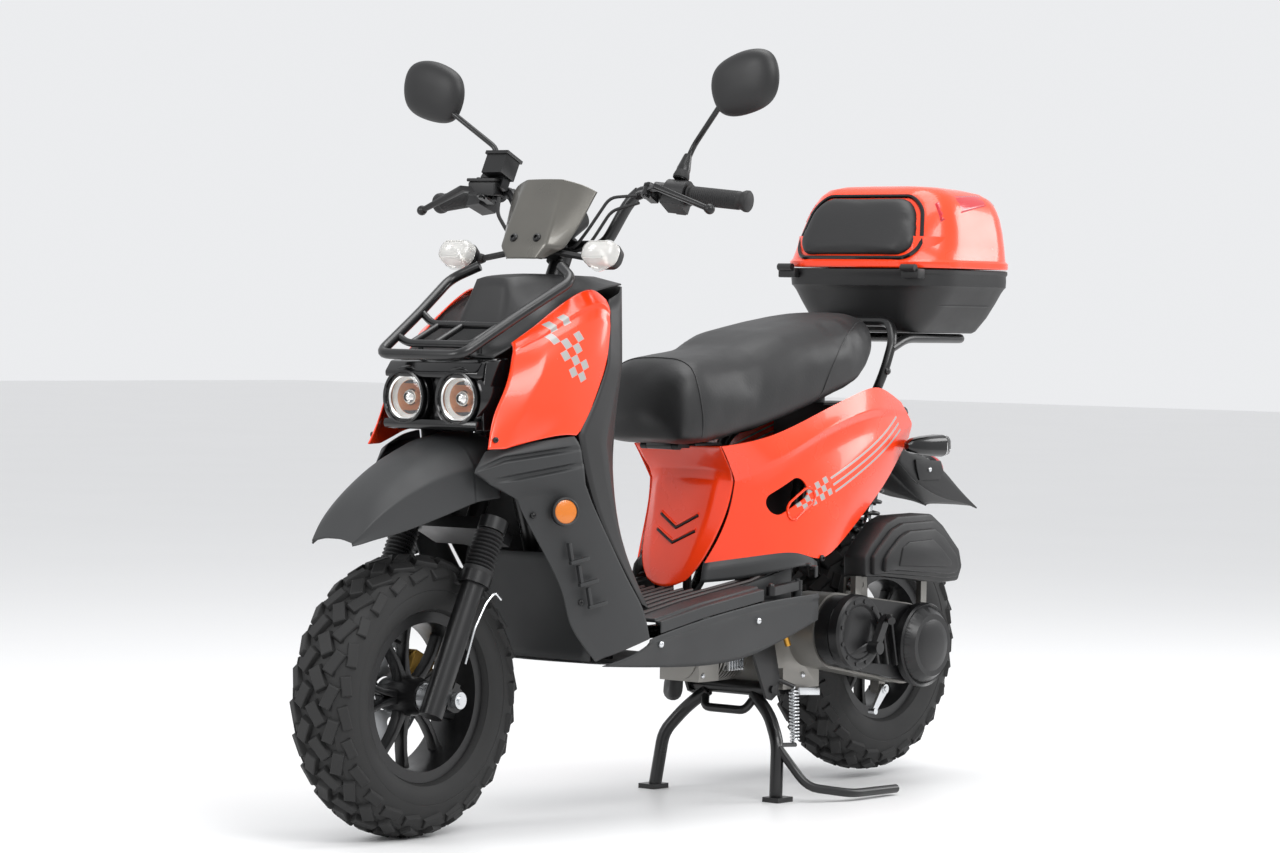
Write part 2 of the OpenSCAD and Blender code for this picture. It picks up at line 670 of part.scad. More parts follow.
module front_cowl() {
  color("darkslategray") difference() {
    front_body() {
      cover([
        [[-86, 98, 800], [-86, 62, 800], [-86, 44, 806], [-86, -44, 806], [-86, -62, 800], [-86, -98, 800]],
        [[-130, 102, 815], [-130, 62, 806], [-150, 46, 836], [-150, -46, 836], [-130, -62, 806], [-130, -102, 815]],
        [[-210, 118, 866], [-210, 70, 858], [-206, 48, 930], [-206, -48, 930], [-210, -70, 858], [-210, -118, 866]],
        [[-290, 126, 908], [-290, 84, 912], [-280, 60, 940], [-280, -60, 940], [-290, -84, 912], [-290, -126, 908]],
        [[-398, 120, 925], [-398, 84, 932], [-398, 60, 938], [-398, -60, 938], [-398, -84, 932],
          [-398, -120, 925]]], [0, 0, -skin]);
      both_sides() cover([
        [[-331, 150, 898], [-366, 146, 910], [-400, 120, 921]],
        [[-300, 176, 790], [-340, 172, 790], [-366, 150, 790]],
        [[-267, 178, 728], [-316, 176, 726], [-350, 155, 720]],
        [[-222, 178, 671], [-290, 182, 660], [-332, 160, 650]],
        [[-251, 184, 560], [-310, 184, 560], [-338, 160, 560]],
        [[-306, 187, 480], [-340, 184, 470], [-366, 160, 470]],
        [[-386, 188, 381], [-410, 184, 372], [-430, 160, 366]]], [0, -skin, 0]);
      cover([
        [[-400.6, 119, 921.4], [-400.6, 0, 926], [-400.6, -119, 921.4]],
        [[-368, 152, 790], [-372, 0, 790], [-368, -152, 790]],
        [[-334, 159, 650], [-352, 0, 650], [-334, -159, 650]],
        [[-340, 159, 560], [-366, 0, 560], [-340, -159, 560]],
        [[-368, 159, 470], [-392, 0, 470], [-368, -159, 470]],
        [[-431, 159, 368], [-440, 0, 368], [-431, -159, 368]]], [skin, 0, 0]);
    }
    steer() translate([-axle_lead, 0, head_s1]) cylinder(r = 26, h = 600);
  }
}
module leg_shield() {
  color("dimgray") front_body() both_sides() cover([
    [[-62, 112, 643], [-100, 132, 651], [-170, 168, 665.1], [-214, 176, 670.1]],
    [[-36, 112, 608], [-90, 140, 612], [-176, 176, 626], [-226, 184, 630]],
    [[-128, 132, 562], [-150, 142, 566], [-200, 178, 576], [-232, 188, 584]],
    [[-138, 138, 528], [-166, 148, 528], [-220, 180, 528], [-268, 190, 528]],
    [[-179, 145, 472], [-204, 156, 472], [-262, 186, 474], [-304, 192, 476]],
    [[-223, 154, 404], [-250, 163, 406], [-310, 188, 410], [-350, 192, 414]],
    [[-223, 160, 359], [-260, 166, 362], [-330, 190, 372], [-382, 192, 380]],
    [[-287, 172, 286], [-310, 178, 294], [-370, 190, 310], [-405, 192, 320]]], [0, -skin, 0]);
}
module front_fender() {
  function arch(x, w, zb, wc, zc, wt, zt, z0) = [[x, w, zb], [x, wc, zc], [x, wt, zt], [x, 0, z0],
    [x, -wt, zt], [x, -wc, zc], [x, -w, zb], [x, -w + skin, zb], [x, -wc + skin, zc - 1],
    [x, -wt + 2, zt - skin], [x, 0, z0 - skin], [x, wt - 2, zt - skin], [x, wc - skin, zc - 1], [x, w - skin, zb]];
  color("dimgray") front_body() loft([
    arch(182, 46, 492, 45, 496, 30, 499, 500),
    arch(150, 60, 503, 56, 530, 42, 540, 543),
    arch(100, 74, 514, 67, 572, 50, 588, 592),
    arch(40, 84, 532, 77, 594, 58, 618, 624),
    arch(-20, 92, 552, 86, 609, 66, 640, 650),
    arch(-80, 95, 562, 92, 620, 72, 660, 672),
    arch(-122, 95, 564, 94, 624, 76, 664, 675 - gap)]);
}

// ---------- floor ----------

skirt_y = 192;
floor_line = [[-436, 352], [-560, 374], [-760, 400], [-884, 432]];
function floor_at(i, dz) = let (p = [floor_line[i][0], 0, floor_line[i][1]], q = i < 2 ? fb(p) : rb(p))
  [q[0], q[2] + dz];
function floor_strip(z0, z1) = concat([for (i = [0:3]) floor_at(i, z0)], [for (i = [3:-1:0]) floor_at(i, z1)]);
module floorboard() {
  color("dimgray") place() difference() {
    side(floor_strip(0, -skin - 4), -skirt_y + 14, skirt_y - 14);
    both_sides() translate([-stretch, 0, rise]) block(-876 - gap, -726 + gap, 134 - gap, 210, 350, 450);
    translate([-stretch, 0, rise]) block(-1000, -640, -96, 96, 300, 460);
  }
  color("dimgray") place() both_sides() difference() {
    side(floor_strip(-4, -25), skirt_y - 14 - eps, skirt_y);
    side(floor_strip(-skin - 8, -30), skirt_y - 20, skirt_y - 4);
    translate([-stretch, 0, rise]) block(-876 - gap, -726 + gap, 134 - gap, 210, 350, 450);
  }
}
peg_hinge = [-862, 162, 391];
module peg() {
  color("black") rear_body() translate(peg_hinge) {
    difference() {
      union() {
        translate([0, 0, -9]) cylinder(r = 9, h = 18);
        hull() {
          translate([9, 3, -8]) cylinder(r = 6, h = 16, $fn = 24);
          translate([112, 26, -12]) cylinder(r = 9, h = 16, $fn = 24);
        }
      }
      cylinder(r = 4 + run, h = 60, center = true);
    }
    translate([112, 26, 4]) sphere(r = 6);
  }
}
module left_peg() { peg(); }
module right_peg() { mirror([0, 1, 0]) peg(); }

module lower_covers() {
  color("dimgray") {
    both_sides() {
      place() cover([
        [fb([-408, skirt_y, 319]), fb([-436, skirt_y, 326.5]), fb([-560, skirt_y, 348.5]), rb([-724, skirt_y, 369.5]),
          rb([-884, skirt_y, 376])],
        [fb([-404, skirt_y, 300]), fb([-440, skirt_y, 302]), fb([-560, skirt_y, 310]), rb([-760, skirt_y, 325]),
          rb([-888, skirt_y, 360])],
        [fb([-300, 176, 276]), fb([-400, 178, 270]), fb([-560, 180, 262]), rb([-700, 182, 272]),
          rb([-888, 190, 329])]], [0, -skin, 0]);
      rear_body() {
        block(-876, -728, 138, 186, 362, 366);
        block(-876, -728, 134, 138, 362, 424);
        block(-730, -726, 138, 186, 366, 384);
        translate([peg_hinge[0], peg_hinge[1], 366]) cylinder(r = 4, h = peg_hinge[2] + 12 - 366);
        translate([peg_hinge[0], peg_hinge[1], 366]) cylinder(r = 9, h = peg_hinge[2] - 9 - gap - 366);
      }
    }
    front_body() cover([
      [[-262, 100, 470], [-258, 60, 466], [-258, -60, 466], [-262, -100, 470]],
      [[-292, 140, 404], [-294, 60, 404], [-294, -60, 404], [-292, -140, 404]],
      [[-300, 150, 350], [-302, 60, 350], [-302, -60, 350], [-300, -150, 350]],
      [[-294, 150, 283.6 + gap], [-294, 60, 283.6 + gap], [-294, -60, 283.6 + gap],
        [-294, -150, 283.6 + gap]]], [-skin, 0, 0]);
    place() cover([
      [fb([-294, 150, 280.6]), fb([-294, -150, 280.6])],
      [fb([-330, 170, 277.6]), fb([-330, -170, 277.6])],
      [fb([-560, 174, 266]), fb([-560, -174, 266])],
      [rb([-660, 174, 269]), rb([-660, -174, 269])]], [0, 0, skin]);
  }
}

// ---------- rear body ----------

bucket_low = 440;
bucket_top = 634;
bucket_half_w = 80;
tongue_z = 641;
seat_hinge_x = -664;
seat_hinge_z = 640;
module seat_bucket() {
  color("dimgray") rear_body() {
    difference() {
      block(-1040, -761, -bucket_half_w, bucket_half_w, bucket_low, bucket_top);
      block(-1040 + skin, -761 - skin, -bucket_half_w + skin, bucket_half_w - skin, bucket_low + skin, 700);
    }
    block(-764, -761, -60, 60, bucket_top - 6, tongue_z + 5);
    block(-764, -688, -60, 60, tongue_z, tongue_z + 5);
    translate([seat_hinge_x, 0, seat_hinge_z]) both_sides() bar_y(6, 30, 44);
    both_sides() block(-692, seat_hinge_x, 30, 44, tongue_z - 4, tongue_z + 5);
    translate([seat_hinge_x, 0, seat_hinge_z]) bar_y(3, -44, 44);
  }
}
module fuel_tank() {
  color("black") rear_body() {
    block(-1250, -1072, -58, 58, 592, 716);
    difference() {
      block(-1160, -1072, -104, 104, 708 + gap, 712);
      block(-1300, -1000, -57, 57, 700, 720);
    }
    translate([-1110, 0, 716]) cylinder(r = 26, h = 14);
  }
}
module rear_side_panels() {
  color("orangered") rear_body() both_sides() {
    difference() {
      cover([
        [[-712, 101, 640], [-820, 132, 656], [-960, 142, 698], [-1079, 138, 728], [-1180, 119, 730], [-1262, 98, 712]],
        [[-757, 98, 580], [-850, 140, 606], [-960, 160, 644], [-1082, 152, 680], [-1200, 124, 692], [-1290, 95, 692]],
        [[-740, 93, 510], [-840, 152, 540], [-950, 170, 574], [-1070, 160, 608], [-1200, 128, 640], [-1308, 92, 672]],
        [[-697, 76, 431], [-800, 136, 446], [-880, 166, 454], [-925, 170, 424], [-1090, 146, 524], [-1299, 92, 649]]],
        [0, -skin, 0]);
      hull() {
        translate([-886, 200, 566]) rotate([90, 0, 0]) cylinder(r = 17, h = 100);
        translate([-826, 200, 534]) rotate([90, 0, 0]) cylinder(r = 11, h = 100);
      }
    }
    translate([-962, 166, 520]) rotate([90, 0, 0]) cylinder(r = 7, h = 166 - bucket_half_w - gap);
  }
}
module centre_panel() {
  color("orangered") rear_body() difference() {
    cover([
      [[-712, 97.4, 640], [-722, 0, 640], [-712, -97.4, 640]],
      [[-757, 94.4, 580], [-752, 0, 584], [-757, -94.4, 580]],
      [[-740, 89.4, 510], [-730, 0, 510], [-740, -89.4, 510]],
      [[-697, 72.4, 431], [-688, 0, 431], [-697, -72.4, 431]],
      [[-682, 40, 396], [-672, 0, 384], [-682, -40, 396]]], [-skin, 0, 0]);
    for (z = [488, 462]) both_sides() translate([-800, 0, z]) rotate([24, 0, 0]) cube([120, 34, 6]);
  }
}
module rear_rack() {
  color("black") rear_body() {
    tube(bend([[-1182, 84.6, 711.8], [-1190, 110, 775], [-1214, 112, 835], [-1240, 86, 868], [-1240, -86, 868],
      [-1214, -112, 835], [-1190, -110, 775], [-1182, -84.6, 711.8]], 20), rack_r);
    tube(bend([[-1206, 112, 818], [-1262, 108, 838], [-1488, 84, 838], [-1488, -84, 838], [-1262, -108, 838],
      [-1206, -112, 818]], 24), rack_r);
    rod([-1400, -92, 838], [-1400, 92, 838], rack_r - 2);
    both_sides() difference() {
      translate([-1182, 84, 700]) cylinder(r = 12, h = 12);
      translate([-1300, 0, 680]) cube([300, 200, 28.5]);
    }
  }
}
shell_r = 40;
module slab(x0, x1, hw, z, r, h = 1) {
  for (x = [x0 - r, x1 + r], y = [-hw + r, hw - r]) translate([x, y, z]) cylinder(r = r, h = h, $fn = 32);
}
box_z = 847.6;
box_rim_z = 850 + box_base_h;
box_front_x = -1224;
box_rear_x = -1545;
hinge_x = -1214;
hinge_y = 144;
module top_box_base() {
  color("dimgray") rear_body() {
    difference() {
      hull() {
        slab(-1268, -1502, 0.62 * box_half_w, box_z, shell_r);
        slab(-1236, -1536, 0.94 * box_half_w, box_rim_z - 46, 84);
        slab(box_front_x, box_rear_x, box_half_w, box_rim_z - 1, 96);
      }
      hull() {
        slab(-1268 - box_wall, -1502 + box_wall, 0.62 * box_half_w - box_wall, box_z + box_wall, shell_r - box_wall);
        slab(-1236 - box_wall, -1536 + box_wall, 0.94 * box_half_w - box_wall, box_rim_z - 46, 84 - box_wall);
        slab(box_front_x - box_wall, box_rear_x + box_wall, box_half_w - box_wall, box_rim_z + 5, 96 - box_wall);
      }
    }
    both_sides() translate([hinge_x, 0, box_rim_z]) {
      bar_y(3, hinge_y - 16, hinge_y + 16);
      for (y = [hinge_y - 20, hinge_y + 10.5]) {
        bar_y(7, y, y + 9.5);
        block(-40, 0, y, y + 9.5, -26, -1);
      }
    }
  }
}
module top_box_lid() {
  color("orangered") rear_body() {
    difference() {
      hull() {
        slab(box_front_x, box_rear_x, box_half_w, box_rim_z + gap, 96, 14);
        slab(-1318, -1506, 0.68 * box_half_w, box_rim_z + 154, 50, 4);
      }
      hull() {
        slab(box_front_x - box_wall, box_rear_x + box_wall, box_half_w - box_wall, box_rim_z, 96 - box_wall, 14);
        slab(-1318 - box_wall, -1506 + box_wall, 0.68 * box_half_w - box_wall, box_rim_z + 153, 50 - box_wall);
      }
      both_sides() translate([hinge_x, 0, box_rim_z]) bar_y(8, hinge_y - 22, hinge_y + 22);
    }
    both_sides() translate([hinge_x, 0, box_rim_z]) difference() {
      union() {
        bar_y(7, hinge_y - 10, hinge_y + 10);
        block(-36, 0, hinge_y - 10, hinge_y + 10, gap, 12);
      }
      bar_y(3 + run, hinge_y - 30, hinge_y + 30);
      block(-60, -8, hinge_y - 30, hinge_y + 30, -20, gap);
    }
  }
}
pad_lean = atan((1318 + box_front_x) / 143);
module backrest_pad() {
  color("black") rear_body() translate([box_front_x, 0, box_rim_z + 15]) rotate([0, -pad_lean, 0]) hull() {
    for (q = [[120, 18, 20], [108, 136, 24]], m = [-1, 1])
      translate([gap, m * (q[0] - q[2]), q[1] + (q[1] > 100 ? -q[2] : q[2])]) rotate([0, 90, 0])
        cylinder(r = q[2], h = 10, $fn = 32);
    for (q = [[104, 34, 16], [90, 120, 16]], m = [-1, 1])
      translate([gap, m * (q[0] - q[2]), q[1]]) rotate([0, 90, 0]) cylinder(r = q[2], h = 18, $fn = 32);
  }
}
recess_z = 653;
module seat() {
  function ring(x, w, z0, z1) = let (h = z1 - z0) [[x, -w, z0], [x, -1.03 * w, z0 + 0.35 * h],
    [x, -0.97 * w, z0 + 0.7 * h], [x, -0.8 * w, z0 + 0.92 * h], [x, -0.4 * w, z0 + h], [x, 0, z0 + 1.01 * h],
    [x, 0.4 * w, z0 + h], [x, 0.8 * w, z0 + 0.92 * h], [x, 0.97 * w, z0 + 0.7 * h], [x, 1.03 * w, z0 + 0.35 * h],
    [x, w, z0]];
  color("black") rear_body() {
    difference() {
      loft([ring(-604, 62, 654, 700), ring(-612, 84, 646, 752), ring(-632, 102, 643, 784), ring(-668, 117, 644, 802),
        ring(-740, 128, 655, 817), ring(-820, 136, 668, 833), ring(-900, 143, 690, 854), ring(-1000, 145, 720, 872),
        ring(-1080, 138, 744, 882), ring(-1140, 116, 772, 887), ring(-1190, 92, 796, 886),
        ring(-1218, 62, 816, 874)]);
      block(-770, -640, -62, 62, 600, recess_z);
    }
    translate([seat_hinge_x, 0, seat_hinge_z]) difference() {
      union() {
        bar_y(6, -29, 29);
        block(-6, 6, -29, 29, 0, recess_z + 1 - seat_hinge_z);
      }
      bar_y(3 + run, -60, 60);
    }
  }
}

// ---------- tail ----------

module tail_unit() {
  color("dimgray") rear_body() {
    difference() {
      side([[-1282, 600], [-1302, 646], [-1400, 634], [-1452, 600], [-1484, 556], [tail_end_x, 514],
        [tail_end_x + 16, 504], [-1486, 508], [-1330, 530], [-1268, 560]], -70, 70);
      translate([std_rear_x, 0, 296]) bar_y(rear_tyre_r + 12, -66, 66);
      side([[-1310, 500], [-1310, 630], [-1396, 622], [-1444, 592], [-1472, 552], [-1480, 500]],
        -66, 66);
    }
    block(-1330, -1294, -44, 44, 640, 687 - gap);
    both_sides() {
      translate([-1360, 50, 634]) rotate([-90, 0, 0]) cylinder(r = 8, h = 66);
      hull() for (z = [-8, 8]) translate([-1394, 118, 640 + z]) rotate([0, 90, 0]) cylinder(r = 16, h = 60, $fn = 32);
    }
    side([[-1440, 606], [-1498, 606], [-1506, 560], [-1476, 558]], -42, 42);
  }
}

// ---------- engine ----------

crank = [-1010, 0, 300];
clutch = [-1228, 0, 266];
case_y0 = 74;
case_y1 = 140;
module engine() {
  color("silver") drive() {
    difference() {
      union() {
        block(-1010, -872, -78, 82, 232, 330);
        block(-1040, -930, -70, 82, 192, 300);
        translate([-862, 0, 257]) rotate([0, -90, 0]) cylinder(r = 44, h = 12);
        translate([-726, 0, 257]) rotate([0, -90, 0]) cylinder(r = 40, h = 140);
        for (i = [0:6]) translate([-790 - 10 * i, 0, 257]) rotate([0, -90, 0]) cylinder(r = 48, h = 4);
        block(-786, -728, -45, 45, 215, 300);
        translate(hanger) bar_y(14, -62, 62);
        block(-884, hanger[0], -62, 62, 322, 350);
        hull() {
          translate(crank) bar_y(70, case_y0, case_y1);
          translate(clutch) bar_y(76, case_y0, case_y1);
        }
        translate([std_rear_x, 0, std_rear_z]) bar_y(44, 50, 90);
        side([[-940, 240], [-940, 300], [-1090, 306], [-1110, 360], [-1150, 360], [-1136, 302], [std_rear_x, 276],
          [std_rear_x - 16, 254], [std_rear_x, 232]], -92, -78 + eps);
        side([[-1118, 340], [-1118, 352], [-1150, 352], [-1150, 340]], 80, 92);
        both_sides() side([[-1112, 330], [-1116, 392], [-1144, 392], [-1150, 330]], 80, 85);
        both_sides() side([[-1112, 330], [-1116, 392], [-1144, 392], [-1150, 330]], 107, 112);
        both_sides() side([[-1112, 330], [-1112, 352], [-1150, 352], [-1150, 330]], 80, 112);
        translate([-1215, 0, 178]) bar_y(10, 80, 100);
        block(-1225, -1205, 80, 100, 178, 200);
        for (x = [-1080, -1290]) block(x - 9, x + 9, 128, case_y1 - gap, 300, 401 - gap);
      }
      translate(hanger) bar_y(6 + run, -100, 100);
      translate(shock_foot) bar_y(5 - eps, -30, 30);
      translate([-1215, 0, 178]) bar_y(5 + run, 70, 110);
    }
    translate([std_rear_x, 0, std_rear_z]) bar_y(axle_r, -104, 60);
    translate([std_rear_x, 0, std_rear_z]) bar_y(14, -79.5, -hub_half_w - free / 2);
    both_sides() translate(shock_foot) bar_y(5, -15, 15);
  }
}
module cvt_cover() {
  color("dimgray") drive() {
    hull() {
      translate(crank) bar_y(66, case_y1 + gap, 170);
      translate(clutch) bar_y(72, case_y1 + gap, 170);
    }
    translate(crank) bar_y(64, 160, 194);
    translate(clutch) bar_y(74, 160, 188);
    translate(clutch) translate([0, 188, 0]) rotate([-90, 0, 0]) cylinder(r1 = 74, r2 = 58, h = 18);
    translate(kick_pivot) bar_y(9, 180, 200);
  }
}
kick_pivot = [-1038, 0, 272];
module kick_lever() {
  color("black") drive() translate(kick_pivot) {
    bar_y(12, 200 + gap, 222);
    side([[-8, -4], [-36, 48], [-24, 58], [8, 4]], 204, 216);
    rod([-30, 216, 52], [-30, 216, 52] + [18, 22, -2], 7);
  }
}
module airbox() {
  color("black") drive() difference() {
    hull() {
      side([[-1046, 400], [-1044, 440], [-1112, 496], [-1144, 506], [-1252, 508], [-1345, 440], [-1355, 408],
        [-1342, 382], [-1290, 380]], 129, 182);
      side([[-1070, 404], [-1072, 436], [-1126, 480], [-1152, 488], [-1240, 490], [-1322, 434], [-1330, 408],
        [-1322, 392], [-1290, 394]], 190, 204);
    }
    for (x = [-1080, -1290]) block(x - 10, x + 10, 126, case_y1 + 1, 370, 401);
  }
}
muffler_y = 180;
module exhaust() {
  color("silver") drive() {
    tube(bend([[-757, -30, 215 - gap], [-757, -30, 188], [-790, -70, 184], [-850, -116, 200], [-960, -128, 236],
      [-1034, -160, 258]], 20), 13, 16);
    difference() {
      union() {
        rod([-1020, -154, 254], [-1060, -muffler_y, 264], 20);
        rod([-1050, -muffler_y, 262], [-1420, -muffler_y, 322], 46);
        rod([-1415, -muffler_y, 321], [-1440, -muffler_y, 325], 16);
      }
      rod([-1053, -muffler_y, 262.5], [-1417, -muffler_y, 321.5], 46 - skin);
      rod([-1400, -muffler_y, 318.8], [-1460, -muffler_y, 328.5], 12);
    }
    block(-1128, -1100, -150, -92 - gap, 284, 300);
  }
}
module brake_arm() {
  color("silver") drive() translate([-1215, 0, 178]) {
    bar_y(5, 72, 112);
    bar_y(9, 100 + gap, 110);
    side([[-6, -8], [30, -44], [38, -36], [8, 6]], 102, 108);
    translate([34, 0, -40]) bar_y(6, 98, 112);
  }
}

// ---------- rear suspension ----------

shock_dir = unit(dr(shock_foot) - rb(shock_top));
shock_len = norm(dr(shock_foot) - rb(shock_top));
module along_shock() {
  both_sides() translate(rb(shock_top)) rotate([0, 180 - atan2(shock_dir[0], -shock_dir[2]), 0]) children();
}
module shock_uppers() {
  color("black") place() along_shock() {
    difference() {
      union() {
        bar_y(13, -10, 9);
        translate([0, 0, 15]) cylinder(r = 22, h = 6);
        translate([0, 0, 8]) cylinder(r = 12, h = 0.42 * shock_len);
      }
      bar_y(5 + run, -20, 20);
      translate([0, 0, 30]) cylinder(r = 8, h = shock_len);
    }
  }
}
module shock_lowers() {
  color("dimgray") place() along_shock() {
    difference() {
      union() {
        translate([0, 0, shock_len]) bar_y(13, -10, 10);
        translate([0, 0, shock_len - 31]) cylinder(r = 22, h = 6);
        translate([0, 0, 0.3 * shock_len]) cylinder(r = 7, h = 0.7 * shock_len - 10);
      }
      translate([0, 0, shock_len]) bar_y(5 + run, -20, 20);
    }
  }
}
module coil(r, wire, turns, h) {
  steps = 12 * turns;
  tube([for (i = [0:steps]) let (a = 360 * turns * i / steps) [r * cos(a), r * sin(a), wire + (h - 2 * wire) * i / steps]],
    wire, 6);
}
module shock_springs() {
  color("silver") place() along_shock() translate([0, 0, 21 + gap]) coil(18, 3.6, 9, shock_len - 52 - 2 * gap);
}

// ---------- stand ----------

foot_x = 47;
tang_y = 232;
module centre_stand() {
  color("black") drive() {
    translate(stand_pivot) difference() {
      union() {
        bar_y(pivot_tube_r, -plate_y + gap, plate_y - gap);
        both_sides() tube(bend([[4, 54, -10], [14, 98, -46], [34, 132, -92],
          [foot_x, stand_half_w - 8, -stand_pivot[2] + 8 - drive_dz]], 20), stand_tube_r);
        tube(bend([[0, 62, -6], [22, 46, -40], [22, -46, -40], [0, -62, -6]], 12), 8);
        both_sides() block(foot_x - 22, foot_x + 22, stand_half_w - 22, stand_half_w + 14, -stand_pivot[2] - drive_dz,
          -stand_pivot[2] + 9 - drive_dz);
        tube(bend([[36, 136, -100 - drive_dz], [20, 190, -168 - drive_dz], [-60, tang_y, -182 - drive_dz],
          [-196, tang_y, -184 - drive_dz]], 24), 8);
      }
      bar_y(7 + run, -120, 120);
    }
    translate(stand_pivot) rod([30, 128, -96], [-30, 124, -100], 4);
  }
}
module coiled_hooks(h) {
  coil(8, 1.8, 12, h);
  for (z = [1.8, h - 1.8]) rod([-0.8, 0, z], [8, 0, z], 1.5);
  rod([0, 0, 0], [0, 0, 2.6], 1.5);
  rod([0, 0, h - 2.6], [0, 0, h], 1.5);
}
module stand_spring() {
  color("silver") drive() {
    top = [-926, 112, 200];
    low = [-912, 124, 96];
    d = unit(low - top);
    translate(top + 4.4 * d) rotate([0, 180 - atan2(d[0], -d[2]), 0]) rotate([asin(d[1]), 0, 0])
      coiled_hooks(norm(low - top) - 8.8);
  }
}

main_frame();
front_rack();
headlight_panel();
headlights();
front_side_panels();
front_cowl();
leg_shield();
front_fender();
floorboard();
lower_covers();
seat_bucket();
rear_side_panels();
centre_panel();
fuel_tank();
rear_rack();
top_box_base();
tail_unit();
steering_stem();
fork_gaiters();
handlebar();
instrument_pod();
flyscreen();
switch_housings();
brake_master_cylinder();
left_grip();
front_indicators();
control_cables();
mirror_stems();
throttle_grip();
left_lever();
right_lever();
left_mirror();
right_mirror();
horn_button();
start_button();
indicator_switch();
fork_lowers();
front_caliper();
front_axle();
front_tyre();
front_rim();
front_brake_disc();
engine();
cvt_cover();
airbox();
exhaust();
kick_lever();
brake_arm();
rear_tyre();
rear_rim();
shock_uppers();
shock_lowers();
shock_springs();
centre_stand();
stand_spring();
top_box_lid();
backrest_pad();
seat();
left_peg();
right_peg();
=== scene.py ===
"""The looks of a step-through moped scooter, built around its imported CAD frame."""

import json
import logging
import math
from dataclasses import dataclass
from enum import Enum
from typing import Any, Iterable, Optional, Sequence

import bmesh
import bpy
from bmesh.types import BMesh
from mathutils import Matrix, Vector

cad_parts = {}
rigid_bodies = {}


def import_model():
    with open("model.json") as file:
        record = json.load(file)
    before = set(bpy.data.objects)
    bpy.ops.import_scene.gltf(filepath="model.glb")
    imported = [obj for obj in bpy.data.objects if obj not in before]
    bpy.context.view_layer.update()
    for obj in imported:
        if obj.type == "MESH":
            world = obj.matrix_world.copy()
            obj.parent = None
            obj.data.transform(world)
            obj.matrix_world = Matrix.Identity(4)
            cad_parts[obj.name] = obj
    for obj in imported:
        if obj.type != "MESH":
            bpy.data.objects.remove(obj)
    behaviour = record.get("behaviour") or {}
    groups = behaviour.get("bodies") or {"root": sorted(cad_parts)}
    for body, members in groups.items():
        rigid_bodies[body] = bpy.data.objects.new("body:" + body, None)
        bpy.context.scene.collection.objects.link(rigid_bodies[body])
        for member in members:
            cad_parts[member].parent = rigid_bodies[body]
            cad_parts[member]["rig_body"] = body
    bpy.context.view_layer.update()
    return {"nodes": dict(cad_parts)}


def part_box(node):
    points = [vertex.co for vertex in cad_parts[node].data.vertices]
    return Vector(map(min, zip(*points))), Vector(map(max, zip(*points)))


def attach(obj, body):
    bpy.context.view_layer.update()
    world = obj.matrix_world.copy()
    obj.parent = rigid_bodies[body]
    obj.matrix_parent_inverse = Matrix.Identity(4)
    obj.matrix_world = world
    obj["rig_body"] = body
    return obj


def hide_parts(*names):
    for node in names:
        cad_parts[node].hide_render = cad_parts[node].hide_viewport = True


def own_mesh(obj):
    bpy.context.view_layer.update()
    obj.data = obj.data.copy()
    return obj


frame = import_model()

LOG = logging.getLogger("scooter")

MM = 0.001
MID_X = 670.5
RAKE = math.radians(25.5)
WHEELBASE = 1290.0

Point = tuple[float, float, float]
Rows = Sequence[Sequence[Point]]


# ---------- places ----------


def at(x: float, y: float, z: float) -> Vector:
    """A point in metres from drawing millimetres, measured from the front axle's ground point."""
    return Vector(((x + MID_X) * MM, y * MM, z * MM))


def steer_at(lead: float, y: float, up: float) -> Vector:
    """A point in metres from millimetres in the raked steering frame."""
    x = lead * math.cos(RAKE) - up * math.sin(RAKE)
    return at(x, y, 235.0 + lead * math.sin(RAKE) + up * math.cos(RAKE))


def mirrored_points(points: Sequence[Point]) -> list[Point]:
    """The same points on the scooter's other side."""
    return [(x, -y, z) for x, y, z in points]


# ---------- finishes ----------


class Grain(Enum):
    """How a surface was made, which sets its fine relief."""

    SMOOTH = "smooth"
    MOULDED = "moulded"
    CAST = "cast"
    BRUSHED = "brushed"
    VINYL = "vinyl"
    MACHINED = "machined"


class Mark(Enum):
    """A generic printed pattern."""

    CHECK = "check"
    STRIPES = "stripes"
    SQUARES = "squares"


@dataclass(frozen=True)
class Decal:
    """A printed pattern on a side panel, laid out in millimetres in the side view."""

    mark: Mark
    x: float
    z: float
    turn: float
    cell: float
    long: float
    high: float


@dataclass(frozen=True)
class Finish:
    """One real material and the way its surface was made."""

    name: str
    colour: str
    slot: str
    rough: float = 0.5
    metallic: float = 0.0
    ior: float = 1.5
    coat: float = 0.0
    clear: float = 0.0
    grain: Grain = Grain.MOULDED
    grain_mm: float = 3.0
    depth_mm: float = 0.06
    shade: float = 0.08
    glow: float = 0.0
    decals: tuple[Decal, ...] = ()


def linear(colour: str) -> tuple[float, float, float, float]:
    """Turns an sRGB hex colour into linear RGBA.

    Args:
        colour: Six hex digits.

    Returns:
        The linear colour with full alpha.
    """
    parts = [int(colour[i : i + 2], 16) / 255 for i in (0, 2, 4)]
    red, green, blue = (
        c / 12.92 if c <= 0.04045 else ((c + 0.055) / 1.055) ** 2.4 for c in parts
    )
    return red, green, blue, 1.0


def add_node(
    tree: bpy.types.NodeTree,
    kind: str,
    values: Optional[dict[Any, Any]] = None,
    links: Optional[dict[Any, Any]] = None,
    **settings: Any,
) -> bpy.types.Node:
    """Adds one shader node.

    Args:
        tree: The node tree it goes into.
        kind: The node's type name.
        values: Constants for its input sockets.
        links: Output sockets that feed its input sockets.
        **settings: The node's own attributes.

    Returns:
        The new node.
    """
    made = tree.nodes.new(kind)
    for key, value in settings.items():
        setattr(made, key, value)
    for key, value in (values or {}).items():
        made.inputs[key].default_value = value
    for key, source in (links or {}).items():
        tree.links.new(source, made.inputs[key])
    return made


